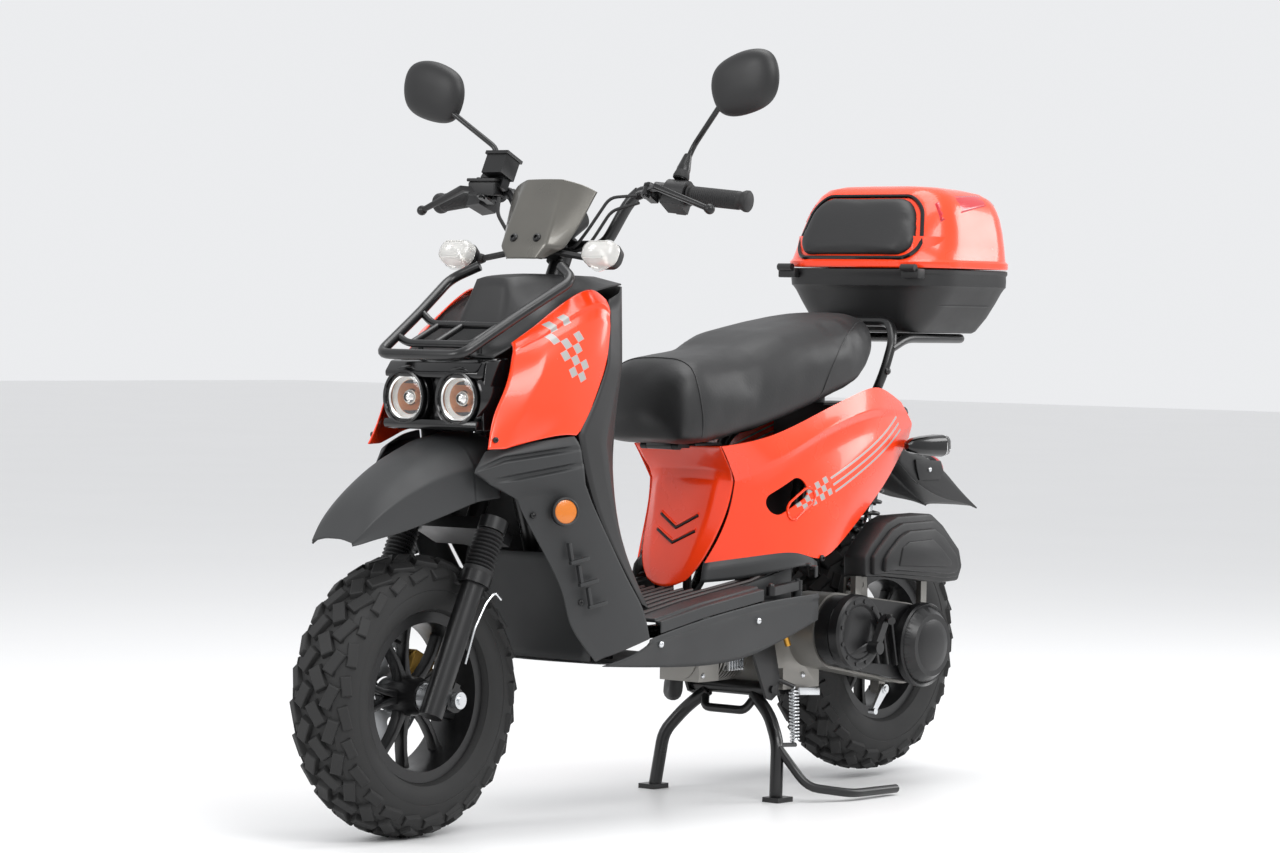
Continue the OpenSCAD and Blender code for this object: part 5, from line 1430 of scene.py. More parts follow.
@dataclass
class RearBody:
    """Orange rear panels, centre panel, bucket and tank."""

    hole_x: float = -852.0
    hole_z: float = 551.0

    def side_panel(self) -> BMesh:
        """The left rear panel with its sweeping crease and concave channel.

        Returns:
            The open shell.
        """
        rows: Rows = [
            [(-712, 101, 641), (-766, 119, 648), (-820, 133, 660), (-890, 140, 682), (-960, 143, 706),
                (-1030, 142, 726),
             (-1079, 139, 739), (-1130, 131, 748), (-1180, 120, 743), (-1262, 99, 717)],
            [(-728, 101, 622), (-778, 121, 632), (-826, 137, 644), (-892, 147, 666), (-962, 151, 690),
                (-1032, 150, 711),
             (-1084, 146, 723), (-1136, 136, 731), (-1188, 122, 729), (-1272, 98, 708)],
            [(-752, 99, 586), (-796, 124, 604), (-838, 144, 624), (-896, 156, 652), (-964, 160, 678),
                (-1034, 158, 696),
             (-1086, 153, 704), (-1140, 141, 708), (-1194, 124, 706), (-1284, 97, 698)],
            [(-756, 98, 578), (-800, 124, 594), (-842, 142, 612), (-900, 150, 640), (-966, 153, 664),
                (-1036, 151, 680),
             (-1090, 147, 688), (-1144, 137, 692), (-1198, 123, 692), (-1290, 96, 692)],
            [(-752, 96, 546), (-806, 124, 566), (-850, 141, 582), (-904, 148, 606), (-970, 152, 632),
                (-1040, 152, 652),
             (-1094, 149, 664), (-1148, 140, 672), (-1202, 127, 676), (-1300, 94, 684)],
            [(-742, 94, 514), (-806, 128, 532), (-856, 150, 548), (-908, 160, 570), (-972, 166, 594),
                (-1042, 164, 618),
             (-1096, 158, 634), (-1150, 147, 646), (-1204, 131, 656), (-1308, 93, 676)],
            [(-722, 88, 472), (-784, 124, 486), (-846, 154, 502), (-902, 168, 520), (-962, 171, 540),
                (-1036, 165, 566),
             (-1092, 157, 588), (-1148, 146, 608), (-1204, 130, 626), (-1306, 92, 666)],
            [(-697, 77, 432), (-748, 108, 440), (-806, 140, 448), (-868, 164, 454), (-925, 170, 426),
                (-1010, 160, 474),
             (-1086, 148, 518), (-1146, 138, 554), (-1204, 124, 590), (-1299, 92, 650)],
        ]
        return cage(rows, (0, 1, 0), sharp_rows=(2, 3), sharp_cols=())

    def centre(self) -> BMesh:
        """The centre panel with its raised hatch.

        Returns:
            The open shell.
        """
        rows: Rows = [
            [(-712, 97, 640), (-719, 60, 640), (-722, 0, 640), (-719, -60, 640), (-712, -97, 640)],
            [(-748, 95, 596), (-744, 62, 598), (-744, 0, 600), (-744, -62, 598), (-748, -95, 596)],
            [(-756, 94, 578), (-742, 66, 580), (-740, 0, 582), (-742, -66, 580), (-756, -94, 578)],
            [(-754, 93, 560), (-736, 68, 566), (-732, 0, 568), (-736, -68, 566), (-754, -93, 560)],
            [(-740, 89, 510), (-724, 62, 510), (-719, 0, 510), (-724, -62, 510), (-740, -89, 510)],
            [(-697, 72, 431), (-690, 46, 431), (-687, 0, 431), (-690, -46, 431), (-697, -72, 431)],
            [(-686, 44, 400), (-680, 26, 392), (-673, 0, 386), (-680, -26, 392), (-686, -44, 400)],
        ]
        return cage(rows, (1, 0, 0), sharp_rows=(1, 2), sharp_cols=(1, 3))

    def chevron(self, z: float, panel: bpy.types.Object, radius: float) -> BMesh:
        """A V-shaped stroke laid on the centre panel for a vent. In black it is painted shade where the slot's dark
        inside would be; in orange it is the slot's raised lip.

        Args:
            z: The height of its point.
            panel: The panel it lies on.
            radius: Half of its stroke's width.

        Returns:
            The stroke.
        """
        line = [(-700.0, 44 - 5.5 * i, z + 26 - 3.25 * i) for i in range(9)]
        route = [at(*p) for p in line + mirrored_points(line)[::-1][1:]]
        return tube(laid(route, panel, 0.2), radius, 0, 8)

    def trim(self) -> BMesh:
        """The black lower trim under the orange panels.

        Returns:
            The open shells.
        """
        rows: Rows = [
            [(-698, 75, 436), (-748, 106, 444), (-806, 138, 452), (-866, 162, 458), (-912, 168, 432)],
            [(-690, 79, 424), (-744, 111, 430), (-804, 143, 438), (-866, 166, 444), (-910, 171, 420)],
            [(-684, 80, 398), (-744, 112, 402), (-804, 146, 414), (-850, 164, 424), (-884, 172, 430)],
        ]
        return cage(rows, (0, 1, 0), sharp_rows=(1,))

    def dress(self) -> None:
        """Adds the rear body's pieces."""
        panels = piece(
            "orange_rear_panels", add_mirror(self.side_panel()), ORANGE_REAR, "chassis",
            ("rear_side_panels",), 3, 2.6
        )
        loop = soft_square(46, 20, 19, 48)
        lean = math.radians(29)
        cutter = []
        lips = []
        for side in (1, -1):
            rings = []
            for y in (60, 240):
                rings.append([
                    at(self.hole_x - a * math.cos(lean) + b * math.sin(lean), side * y,
                       self.hole_z + a * math.sin(lean) + b * math.cos(lean))
                    for a, b in loop
                ])
            cutter.append(stack(rings))
            lips.append(tube(laid(rings[1] + rings[1][:1], panels, 0.4), 2.6, 0, 8))
        carve(panels, merged(cutter))
        piece("rear_panel_lips", merged(lips), ORANGE_ABS, "chassis", sharp=60)
        front = piece("centre_panel_skin", self.centre(), ORANGE_ABS, "chassis", ("centre_panel",), 3, 2.6)
        # The black strokes are painted shade: they stand in for the dark insides of the vent slots, under the orange
        # lips.
        piece("centre_vent_slot_painted_shade", merged([self.chevron(z, front, 2.6) for z in (496, 466)]), BLACK_PP,
            "chassis", sharp=60)
        lips = merged([self.chevron(z, front, 2.4) for z in (501, 471)])
        piece("centre_vent_lips", lips, ORANGE_ABS, "chassis", sharp=60)
        piece("rear_lower_trim", add_mirror(self.trim()), GREY_PP, "chassis", (), 2, 2.2)
        refined("seat_bucket", BLACK_PP, 1.0, "under_seat_bucket")
        refined("fuel_tank", BLACK_PP, 2.0, "tank")
        screws = [screw_head(at(-925, side * 170, 438), Vector((0.1, side, 0)), 6) for side in (1, -1)]
        piece("rear_panel_screws", merged(screws), BLACK_CAST, "chassis", sharp=40)


# ---------- seat and pad ----------


def swell(shape: BMesh, name: str, voxel_mm: float, pressure: float, cap_mm: float) -> BMesh:
    """Blows a padded shape up as cloth and keeps how far it may move.

    Args:
        shape: The closed shape to pad, which is freed.
        name: A working name.
        voxel_mm: The remesh size.
        pressure: The cloth's inner pressure.
        cap_mm: The farthest a point may move.

    Returns:
        The swollen shape.
    """
    mesh = bpy.data.meshes.new(name)
    shape.to_mesh(mesh)
    shape.free()
    held = bpy.data.objects.new(name, mesh)
    scene = bpy.context.scene
    scene.collection.objects.link(held)
    grid = held.modifiers.new("grid", "REMESH")
    grid.mode = "VOXEL"
    grid.voxel_size = voxel_mm * MM
    bpy.context.view_layer.update()
    flat = bpy.data.meshes.new_from_object(held.evaluated_get(bpy.context.evaluated_depsgraph_get()))
    held.modifiers.clear()
    held.data = flat
    start = [v.co.copy() for v in flat.vertices]
    cloth = held.modifiers.new("pad", "CLOTH")
    cloth.settings.use_pressure = True
    cloth.settings.uniform_pressure_force = pressure
    cloth.settings.effector_weights.gravity = 0.0
    cloth.settings.quality = 4
    for number in range(1, 21):
        scene.frame_set(number)
    graph = bpy.context.evaluated_depsgraph_get()
    blown = bpy.data.meshes.new_from_object(held.evaluated_get(graph))
    ends = [v.co.copy() for v in blown.vertices]
    held.modifiers.clear()
    scene.frame_set(1)
    for vert, was, now in zip(flat.vertices, start, ends):
        move = now - was
        if move.length > cap_mm * MM:
            move *= cap_mm * MM / move.length
        vert.co = was + move
    bpy.data.meshes.remove(blown)
    bm = bmesh.new()
    bm.from_mesh(held.data)
    for _ in range(9):
        bmesh.ops.smooth_vert(bm, verts=bm.verts[:], factor=0.5, use_axis_x=True, use_axis_y=True,
            use_axis_z=True)
    bpy.data.objects.remove(held)
    return bm


@dataclass
class Seat:
    """The long two-up seat, padded and seamed."""

    shrink: float = 4.0

    def form(self) -> BMesh:
        """The foam's shape, a little under size.

        Returns:
            The closed foam.
        """
        spec = [
            (-599, 84, 654, 738), (-604, 100, 648, 764), (-618, 110, 646, 784), (-650, 118, 646, 798),
            (-710, 124, 652, 805),
            (-760, 126, 660, 811), (-800, 130, 666, 820), (-840, 135, 676, 835), (-880, 139, 687, 848),
            (-940, 142, 704, 858), (-1000, 142, 722, 868), (-1060, 139, 740, 876), (-1100, 131, 753, 881),
            (-1140, 116, 773, 884), (-1184, 92, 795, 882), (-1212, 62, 814, 868),
        ]
        rings = []
        for x, w, z0, z1 in spec:
            w, z0, z1 = w - self.shrink, z0 + self.shrink * 0.6, z1 - self.shrink
            h = z1 - z0
            half = [(0.0, z0), (0.6 * w, z0), (0.94 * w, z0 + 0.02 * h), (1.0 * w, z0 + 0.14 * h),
                (1.02 * w, z0 + 0.34 * h),
                    (0.99 * w, z0 + 0.6 * h), (0.92 * w, z0 + 0.8 * h), (0.76 * w, z0 + 0.93 * h),
                    (0.45 * w, z0 + 0.99 * h)]
            loop = [(y, z) for y, z in half] + [(0.0, z1)] + [(-y, z) for y, z in reversed(half[1:])]
            rings.append([at(x, y, z) for y, z in loop])
        return stack(rings)

    def seam(self, points: Sequence[Point], drawn: bpy.types.Object, lift_mm: float = 0.3) -> BMesh:
        """A sewn cord laid on the cover.

        Args:
            points: Drawing points near the cover.
            drawn: The cover it lies on.
            lift_mm: How far the cord stands out.

        Returns:
            The cord.
        """
        route = rounded_route([at(*p) for p in points], 0.05, 10)
        return tube(laid(route, drawn, lift_mm), 1.3, 0, 8)

    def dress(self) -> None:
        """Adds the seat cover, its base and its seams."""
        cover = swell(self.form(), "seat_foam", 6.0, 4.0, 5.0)
        seat = piece("seat_cushion", cover, VINYL, "seat", ("seat",), 1)
        bpy.context.view_layer.update()
        def both(points: Sequence[Point]) -> list[Point]:
            """A line across the seat from its left half."""
            return list(points) + mirrored_points(points)[::-1]
        nose = [(-648, 118, 650), (-642, 112, 700), (-636, 106, 752), (-640, 92, 784), (-644, 60, 800),
            (-645, 20, 806)]
        tail = [(-962, 150, 714), (-975, 152, 762), (-1004, 146, 812), (-1060, 128, 852), (-1124, 104, 878),
            (-1180, 84, 886), (-1200, 40, 888)]
        cords = [self.seam(both(nose), seat), self.seam(both(tail), seat)]
        piece("seat_seams", merged(cords), VINYL, "seat", sharp=60)
        tongue = [brick((-760, -58, 655), (-676, 58, 661), 1.0)]
        tongue.append(bar(at(-664, -29, 640), at(-664, 29, 640), 6))
        tongue.append(brick((-670, -29, 640), (-658, 29, 660), 1.0))
        piece("seat_hinge_plate", merged(tongue), POWDER_BLACK, "seat", sharp=40)


# ---------- top box ----------


@dataclass
class TopBox:
    """Luggage box with a bulged lid and a padded backrest."""

    rim_z: float = 970.0
    front: float = -1224.0
    rear: float = -1545.0
    half: float = 190.0

    def level(self, x0: float, x1: float, half: float, z: float, radius: float,
        tip: float = 0.0) -> list[Vector]:
        """One level of the box as a loop of points.

        Args:
            x0: Its front.
            x1: Its rear.
            half: Half of its width.
            z: Its height.
            radius: Its corner radius.
            tip: How far the front stands higher than the rear.

        Returns:
            The loop.
        """
        mid, long = (x0 + x1) / 2, (x0 - x1) / 2
        return [
            at(mid + a, b, z + tip * a / long) for a, b in soft_square(long, half, radius, 64)
        ]

    def base(self) -> BMesh:
        """The lower half with a lip and feet.

        Returns:
            The body.
        """
        r = self.rim_z
        return stack([
            self.level(-1272, -1498, 112, 848, 38), self.level(-1266, -1504, 119, 852, 42),
            self.level(-1254, -1518, 142, 878, 58), self.level(-1244, -1528, 163, 906, 74),
            self.level(-1237, -1535, 176, 926, 84), self.level(-1233, -1539, 181, 934, 86),
            self.level(-1229, -1542, 184.5, 937, 90), self.level(-1227, -1543, 185.5, 948, 92),
            self.level(-1226, -1543, 186, 958, 94), self.level(-1224.5, -1544.5, 188.5, 961, 95),
            self.level(-1224.5, -1544.5, 188.5, r - 3, 95), self.level(-1228, -1541, 185, r - 1.4, 92),
            self.level(-1240, -1529, 173, r - 1.4, 84), self.level(-1250, -1519, 160, 900, 70),
            self.level(-1276, -1494, 108, 862, 36),
        ])

    def lid(self) -> BMesh:
        """The bulged lid with its stepped shoulder.

        Returns:
            The lid.
        """
        r = self.rim_z
        return stack([
            self.level(-1240, -1529, 174, r + 60, 84), self.level(-1232, -1537, 182, r + 1.5, 90),
            self.level(-1226, -1543, 188, r + 0.8, 94),
            self.level(-1224.4, -1545, 189.6, r + 3, 96), self.level(-1224.4, -1545, 189.6, r + 12, 96),
            self.level(-1228, -1542, 187, r + 15, 94), self.level(-1230, -1540, 185.5, r + 17, 93),
            self.level(-1243, -1538, 182, r + 44, 90), self.level(-1256, -1534, 177, r + 72, 84),
            self.level(-1269, -1528, 170, r + 98, 76), self.level(-1277, -1523, 165, r + 112, 72),
            self.level(-1284, -1518, 158, r + 124, 66), self.level(-1292, -1510, 148, r + 136, 58, 2),
            self.level(-1304, -1494, 132, r + 147, 48, 3), self.level(-1324, -1470, 108, r + 153, 40, 3),
            self.level(-1350, -1440, 60, r + 156, 30, 2),
        ])

    def front_face(self, y: float, z: float) -> float:
        """The lid's front face X at a place."""
        levels = [(973, -1224.4, 189.6, 96), (1014, -1243, 182, 90), (1042, -1256, 177, 84),
            (1068, -1269, 170, 76),
                  (1082, -1277, 165, 72), (1094, -1284, 158, 66), (1108, -1293, 148, 58),
                  (1119, -1306, 132, 48)]
        low, high = levels[0], levels[-1]
        for one, two in zip(levels, levels[1:]):
            if one[0] <= z <= two[0]:
                low, high = one, two
        t = max(0.0, min(1.0, (z - low[0]) / max(1.0, high[0] - low[0])))
        x, half, radius = (low[i] + (high[i] - low[i]) * t for i in (1, 2, 3))
        into = max(0.0, abs(y) - (half - radius))
        return x - (radius - math.sqrt(max(0.0, radius * radius - min(into, radius * 0.98) ** 2)))

    def on_lid(self, y: float, z: float, depth: float) -> Vector:
        """A point at a depth over the lid's front face."""
        return at(self.front_face(y, z) + depth * 0.9, y, z + depth * 0.44)

    def outline(self, grow: float) -> list[tuple[float, float]]:
        """The backrest's outline, as Y and Z about its middle, scaled by a factor."""
        points = []
        for a, b in soft_square(57, 138, 34, 80):
            t = (a + 57) / 114
            points.append((b * (1 - 0.2 * t * t) * grow, a * grow))
        return points

    def pad(self) -> BMesh:
        """The backrest's foam before it swells.

        Returns:
            The closed pad.
        """
        rings = []
        for depth, grow in ((-4, 1.0), (2, 1.0), (8, 0.985), (11, 0.93), (12.5, 0.8), (13, 0.55), (13, 0.3),
            (13, 0.08)):
            rings.append([self.on_lid(y, 1047 + z, depth) for y, z in self.outline(grow)])
        return stack(rings)

    def surround(self) -> BMesh:
        """The gloss bead around the backrest.

        Returns:
            The bead.
        """
        loop = [self.on_lid(y, 1047 + z, 1.5) for y, z in self.outline(1.035)]
        return tube(loop + loop[:1], 4.2, 0, 10)

    def dress(self) -> None:
        """Adds the box's pieces."""
        piece("box_lower_half", self.base(), BLACK_PP, "chassis", ("top_box_base",), sharp=30)
        lid = piece("box_lid_shell", self.lid(), ORANGE_ABS, "lid", ("top_box_lid",), sharp=34)
        pad = swell(self.pad(), "pad_foam", 5.0, 4.0, 4.0)
        cushion = piece("backrest_cushion", pad, VINYL, "lid", ("backrest_pad",), 1)
        piece("backrest_frame", self.surround(), GLOSS_BLACK, "lid", sharp=40)
        lenses, hinges = [], []
        for side in (1, -1):
            hinges.append(bar(at(-1214, side * 128, 970), at(-1214, side * 160, 970), 6.8))
            low, high = sorted((side * 124, side * 164))
            hinges.append(brick((-1240, low, 950), (-1217, high, 968.6), 2.0))
            rows = []
            for i in range(4):
                row = []
                for j in range(8):
                    t = j / 7
                    spot = at(-1284 - 206 * t, side * (176 - 6 * i - 22 * t), 1066 + 14 * i + (34 - 7 * i) * t)
                    place = laid([spot], lid, 0.8)[0]
                    row.append((place.x / MM - MID_X, place.y / MM, place.z / MM))
                rows.append(row)
            lenses.append(cage(rows, (0, side, 0.4)))
        piece("lid_reflectors", merged(lenses), RED_LENS, "lid", (), 1, 2.0)
        piece("box_hinges", merged(hinges), BLACK_PP, "chassis", sharp=40)


# ---------- rear rack and tail ----------


@dataclass
class Tail:
    """Rear rack, lights, indicators and mudguard."""

    def rack(self) -> BMesh:
        """The rear carrier's tubes and its feet.

        Returns:
            The welded tubes.
        """
        foot = [(-1182, 84.6, 711), (-1190, 110, 775), (-1214, 112, 835), (-1240, 86, 868)]
        loop = [(-1206, 112, 818), (-1262, 108, 838), (-1488, 84, 838)]
        tubes = [
            tube([at(*p) for p in foot + mirrored_points(foot)[::-1]], 9, 22, 20),
            tube([at(*p) for p in loop + mirrored_points(loop)[::-1]], 9, 26, 20),
            bar(at(-1400, -92, 838), at(-1400, 92, 838), 7),
        ]
        for side in (1, -1):
            tubes.append(bar(at(-1182, side * 84, 708.5), at(-1182, side * 84, 713), 12))
            tubes.append(screw_head(at(-1190, side * 118, 776), Vector((0, side, 0)), 7, False))
        return merged(tubes)

    def guard(self) -> BMesh:
        """The rear mudguard's crowned shell.

        Returns:
            The open shell.
        """
        def section(x: float, z: float, half: float, drop: float) -> list[Point]:
            """A section from the left edge to the right one."""
            left = [(x, half, z - drop), (x, half, z - 5), (x, half - 6, z), (x, half * 0.5, z + 1)]
            return left + [(x, 0.0, z + 1.5)] + mirrored_points(left)[::-1]
        rows = [
            section(-1300, 640, 66, 34), section(-1350, 626, 68, 58), section(-1400, 610, 69, 66),
            section(-1440, 594, 69, 62), section(-1470, 576, 68, 50), section(-1500, 556, 66, 34),
            section(-1540, 532, 64, 16), section(-1576, 513, 62, 7),
        ]
        return cage(rows, (0, 0, 1), sharp_cols=(1, 7))

    def dress(self) -> None:
        """Adds the tail's pieces."""
        piece("rear_carrier", self.rack(), POWDER_BLACK, "chassis", ("rear_rack",), sharp=50)
        piece("rear_mudguard", self.guard(), BLACK_PP, "chassis", ("tail_unit",), 2, 3.0)
        blocks = [brick((-1330, -44, 636), (-1294, 44, 686), 2.0)]
        blocks.append(plate([(-1356, 588), (-1352, 606), (-1436, 602), (-1446, 582), (-1436, 566),
            (-1366, 566)], 66, 72, 1.2))
        blocks.append(plate([(-1356, 588), (-1352, 606), (-1436, 602), (-1446, 582), (-1436, 566),
            (-1366, 566)], -72, -66, 1.2))
        piece("tail_bracket", merged(blocks), BLACK_PP, "chassis", sharp=40)
        shells, clears, reds, bolts = [], [], [], []
        for side in (1, -1):
            c = at(-1216, side * 146, 636)
            way = Vector((-1, 0, 0))
            shells.append(bar(at(-1300, side * 60, 634), at(-1296, side * 132, 636), 8))
            shells.append(stack([
                [c + way * along * MM + Vector((0, a * MM, b * MM)) for a,
                    b in soft_square(grow, grow * 0.92, grow * 0.6, 32)]
                for along, grow in ((0, 5), (6, 10), (24, 16), (56, 20), (98, 22.5), (101, 22.5))
            ]))
            clears.append(stack([
                [c + way * along * MM + Vector((0, a * MM, b * MM)) for a,
                    b in soft_square(grow, grow * 0.92, grow * 0.6, 32)]
                for along, grow in ((101.4, 22), (114, 21), (121, 17), (124, 8))
            ]))
            bolts.append(screw_head(at(-1398, side * 72.5, 586), Vector((0, side, 0)), 5, False))
        face = Vector((-0.94, 0, 0.3))
        reds.append(turned([(0, 0), (0, 27), (10, 27.5), (18, 24), (24, 15), (26, 0)], at(-1496, 0, 580),
            face, 40))
        shells.append(turned([(-34, 0), (-34, 18), (-20, 27), (0, 30), (3, 30), (3, 27.4), (0, 0)],
            at(-1496, 0, 580), face, 40))
        piece("rear_indicator_shells", merged(shells), GLOSS_BLACK, "chassis", sharp=40)
        piece("rear_indicator_lenses", merged(clears), CLEAR, "chassis", sharp=50)
        piece("tail_lamp_lens", merged(reds), RED_LENS, "chassis", sharp=50)
        piece("tail_bolts", merged(bolts), ZINC, "chassis", sharp=50)


# ---------- drive ----------


@dataclass
class Drive:
    """Engine, transmission cover, airbox, exhaust and their levers."""

    crank_x: float = -1010.0
    crank_z: float = 300.0
    clutch_x: float = -1228.0
    clutch_z: float = 266.0

    def cover(self) -> BMesh:
        """The transmission cover with its dished front and domed rear.

        Returns:
            The cover.
        """
        y = Vector((0, 1, 0))
        crank, clutch = at(self.crank_x, 0, self.crank_z), at(self.clutch_x, 0, self.clutch_z)
        shapes = [cad_copy("cvt_cover")]
        shapes.append(ring([(190, 46), (193, 46), (195.5, 50), (198, 60), (197, 66), (192, 69), (176, 70),
            (176, 46)], crank, y, 72))
        shapes.append(turned([(176, 0), (193.6, 0), (192, 22), (189.6, 46), (176, 46)][::-1], crank, y, 72))
        shapes.append(ring([(186, 66), (192, 76), (188, 78.5), (176, 79), (176, 66)], clutch, y, 72))
        shapes.append(turned([(186, 0), (210.5, 0), (209.6, 30), (206, 48), (200, 60), (192, 69),
            (186, 70)][::-1], clutch, y, 72))
        for i in range(12):
            a = i * math.pi / 6 + 0.2
            spot = crank + Vector((math.cos(a) * 0.058, 0, math.sin(a) * 0.058))
            shapes.append(bar(spot + y * 0.19, spot + y * 0.1992, 4.2, 12))
        for i in range(3):
            shapes.append(brick((-1082 - 30 * i, 168, 236 - 3 * i), (-1076 - 30 * i, 182, 338 - 5 * i), 1.5,
                                Matrix.Rotation(math.radians(14), 4, "Y")))
        return merged(shapes)

    def airbox(self) -> BMesh:
        """The air filter box with its stepped contour.

        Returns:
            The box.
        """
        outer = [(-1044, 400), (-1042, 436), (-1060, 456), (-1110, 497), (-1144, 508), (-1252, 510),
            (-1290, 488),
                 (-1346, 440), (-1356, 408), (-1343, 381), (-1290, 379), (-1100, 398)]
        mid = [(-1058, 403), (-1057, 436), (-1072, 450), (-1118, 486), (-1148, 496), (-1246, 498), (-1282, 478),
               (-1332, 436), (-1340, 408), (-1330, 390), (-1288, 388), (-1100, 404)]
        face = [(-1080, 408), (-1082, 432), (-1096, 446), (-1134, 474), (-1156, 482), (-1236, 484),
            (-1268, 468),
                (-1312, 430), (-1318, 410), (-1312, 398), (-1284, 396), (-1110, 410)]
        return merged([
            plate(outer, 130, 182, 5), plate(mid, 178, 192, 4), plate(face, 188, 202, 5),
            plate([(-1120, 418), (-1130, 452), (-1150, 462), (-1226, 464), (-1250, 450), (-1290, 420),
                (-1284, 410)], 198, 205, 2.5),
        ])

    def engine_parts(self) -> tuple[BMesh, BMesh, BMesh]:
        """Bolts, the brass elbow and the blue bolt.

        Returns:
            Zinc parts, brass parts and the blue bolt.
        """
        y = Vector((0, 1, 0))
        zinc = [screw_head(at(x, 82, z), y, 6, False) for x,
            z in ((-900, 322), (-1000, 322), (-900, 244), (-990, 216))]
        zinc += [brick((-846 + 8 * i, -56, 232), (-843.6 + 8 * i, 56, 284), 0.6) for i in range(6)]
        zinc += [screw_head(at(x, 45, z), y, 5, False) for x, z in ((-740, 290), (-774, 290), (-740, 226))]
        zinc.append(plate([(-1020, 178), (-960, 182), (-956, 196), (-1020, 192)], 96, 100, 0.8))
        brass = [tube([at(-905, 84, 300), at(-905, 104, 296), at(-912, 106, 276)], 6, 8, 12)]
        brass.append(screw_head(at(-950, 82, 285), y, 7, False))
        blue = screw_head(at(-880, 82, 262), y, 8, False)
        return merged(zinc), merged(brass), blue

    def dress(self) -> None:
        """Adds the drive's pieces."""
        refined("engine", BARE_CAST, 1.5, "engine_castings")
        piece("transmission_cover", self.cover(), BLACK_CAST, "engine_unit", ("cvt_cover",), sharp=32)
        piece("air_filter_box", self.airbox(), BLACK_PP, "engine_unit", ("airbox",), sharp=34)
        refined("exhaust", HEAT_PAINT, 1.5, "exhaust_system")
        refined("kick_lever", POWDER_BLACK, 1.2, "kick_start_lever")
        refined("brake_arm", ZINC, 0.8, "rear_brake_lever")
        zinc, brass, blue = self.engine_parts()
        piece("engine_bolts", zinc, ZINC, "engine_unit", sharp=40)
        piece("brass_elbow", brass, BRASS, "engine_unit", sharp=50)
        piece("oil_bolt", blue, BLUE_ZINC, "engine_unit", sharp=40)


@dataclass
class Chassis:
    """Frame tubes, stand and rear dampers."""

    def spring(self, start: Vector, end: Vector, radius: float, wire: float, turns: float) -> BMesh:
        """A coil between two points.

        Args:
            start: One end of its axis.
            end: The other end.
            radius: The coil's radius to the wire's middle.
            wire: The wire's radius.
            turns: How many turns.

        Returns:
            The coil.
        """
        way = (end - start).normalized()
        side = way.orthogonal().normalized()
        other = way.cross(side)
        count = int(turns * 20)
        route = []
        for i in range(count + 1):
            a = 2 * math.pi * turns * i / count
            route.append(start + (end - start) * (i / count) + (side * math.cos(a) + other * math.sin(a)) * radius * MM)
        return tube(route, wire, 0, 8)

    def dress(self) -> None:
        """Adds the frame's, stand's and dampers' pieces."""
        tubes = cad_copy("main_frame")
        cut = bmesh.ops.bisect_plane(
            tubes, geom=tubes.verts[:] + tubes.edges[:] + tubes.faces[:], plane_co=at(-1312, 0, 0),
            plane_no=(-1, 0, 0), clear_outer=True,
        )
        bmesh.ops.holes_fill(tubes, edges=[g for g in cut["geom_cut"] if isinstance(g, bmesh.types.BMEdge)])
        piece("frame_tubes", tubes, POWDER_BLACK, "chassis", ("main_frame",), edge_mm=0.8, sharp=30)
        refined("centre_stand", POWDER_BLACK, 1.0, "stand")
        coil = self.spring(at(-924.5, 112, 194), at(-913.5, 124, 102), 8, 1.7, 15)
        hooks = [coil]
        hooks.append(tube([at(-924.5 + 8, 112, 194), at(-925, 112, 197), at(-926, 112, 203)], 1.7, 3, 8))
        hooks.append(tube([at(-913.5 + 8, 124, 102), at(-913, 124, 99), at(-912, 124, 93)], 1.7, 3, 8))
        piece("stand_return_spring", merged(hooks), ZINC, "stand", ("stand_spring",), sharp=60)
        refined("shock_uppers", POWDER_BLACK, 0.8, "damper_bodies")
        refined("shock_lowers", ZINC, 0.8, "damper_rods")
        coils = []
        top, foot = Vector((-1205, 96, 648)), Vector((-1130, 96, 378))
        way = (foot - top).normalized()
        for side in (1, -1):
            a, b = top + way * 23, foot - way * 33
            coils.append(self.spring(at(a.x, side * 96, a.z), at(b.x, side * 96, b.z), 19, 3.8, 10))
        springs = piece("damper_springs", merged(coils), POWDER_BLACK, "shock_bodies", ("shock_springs",),
            sharp=60)
        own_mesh(springs)


# ---------- handlebar ----------


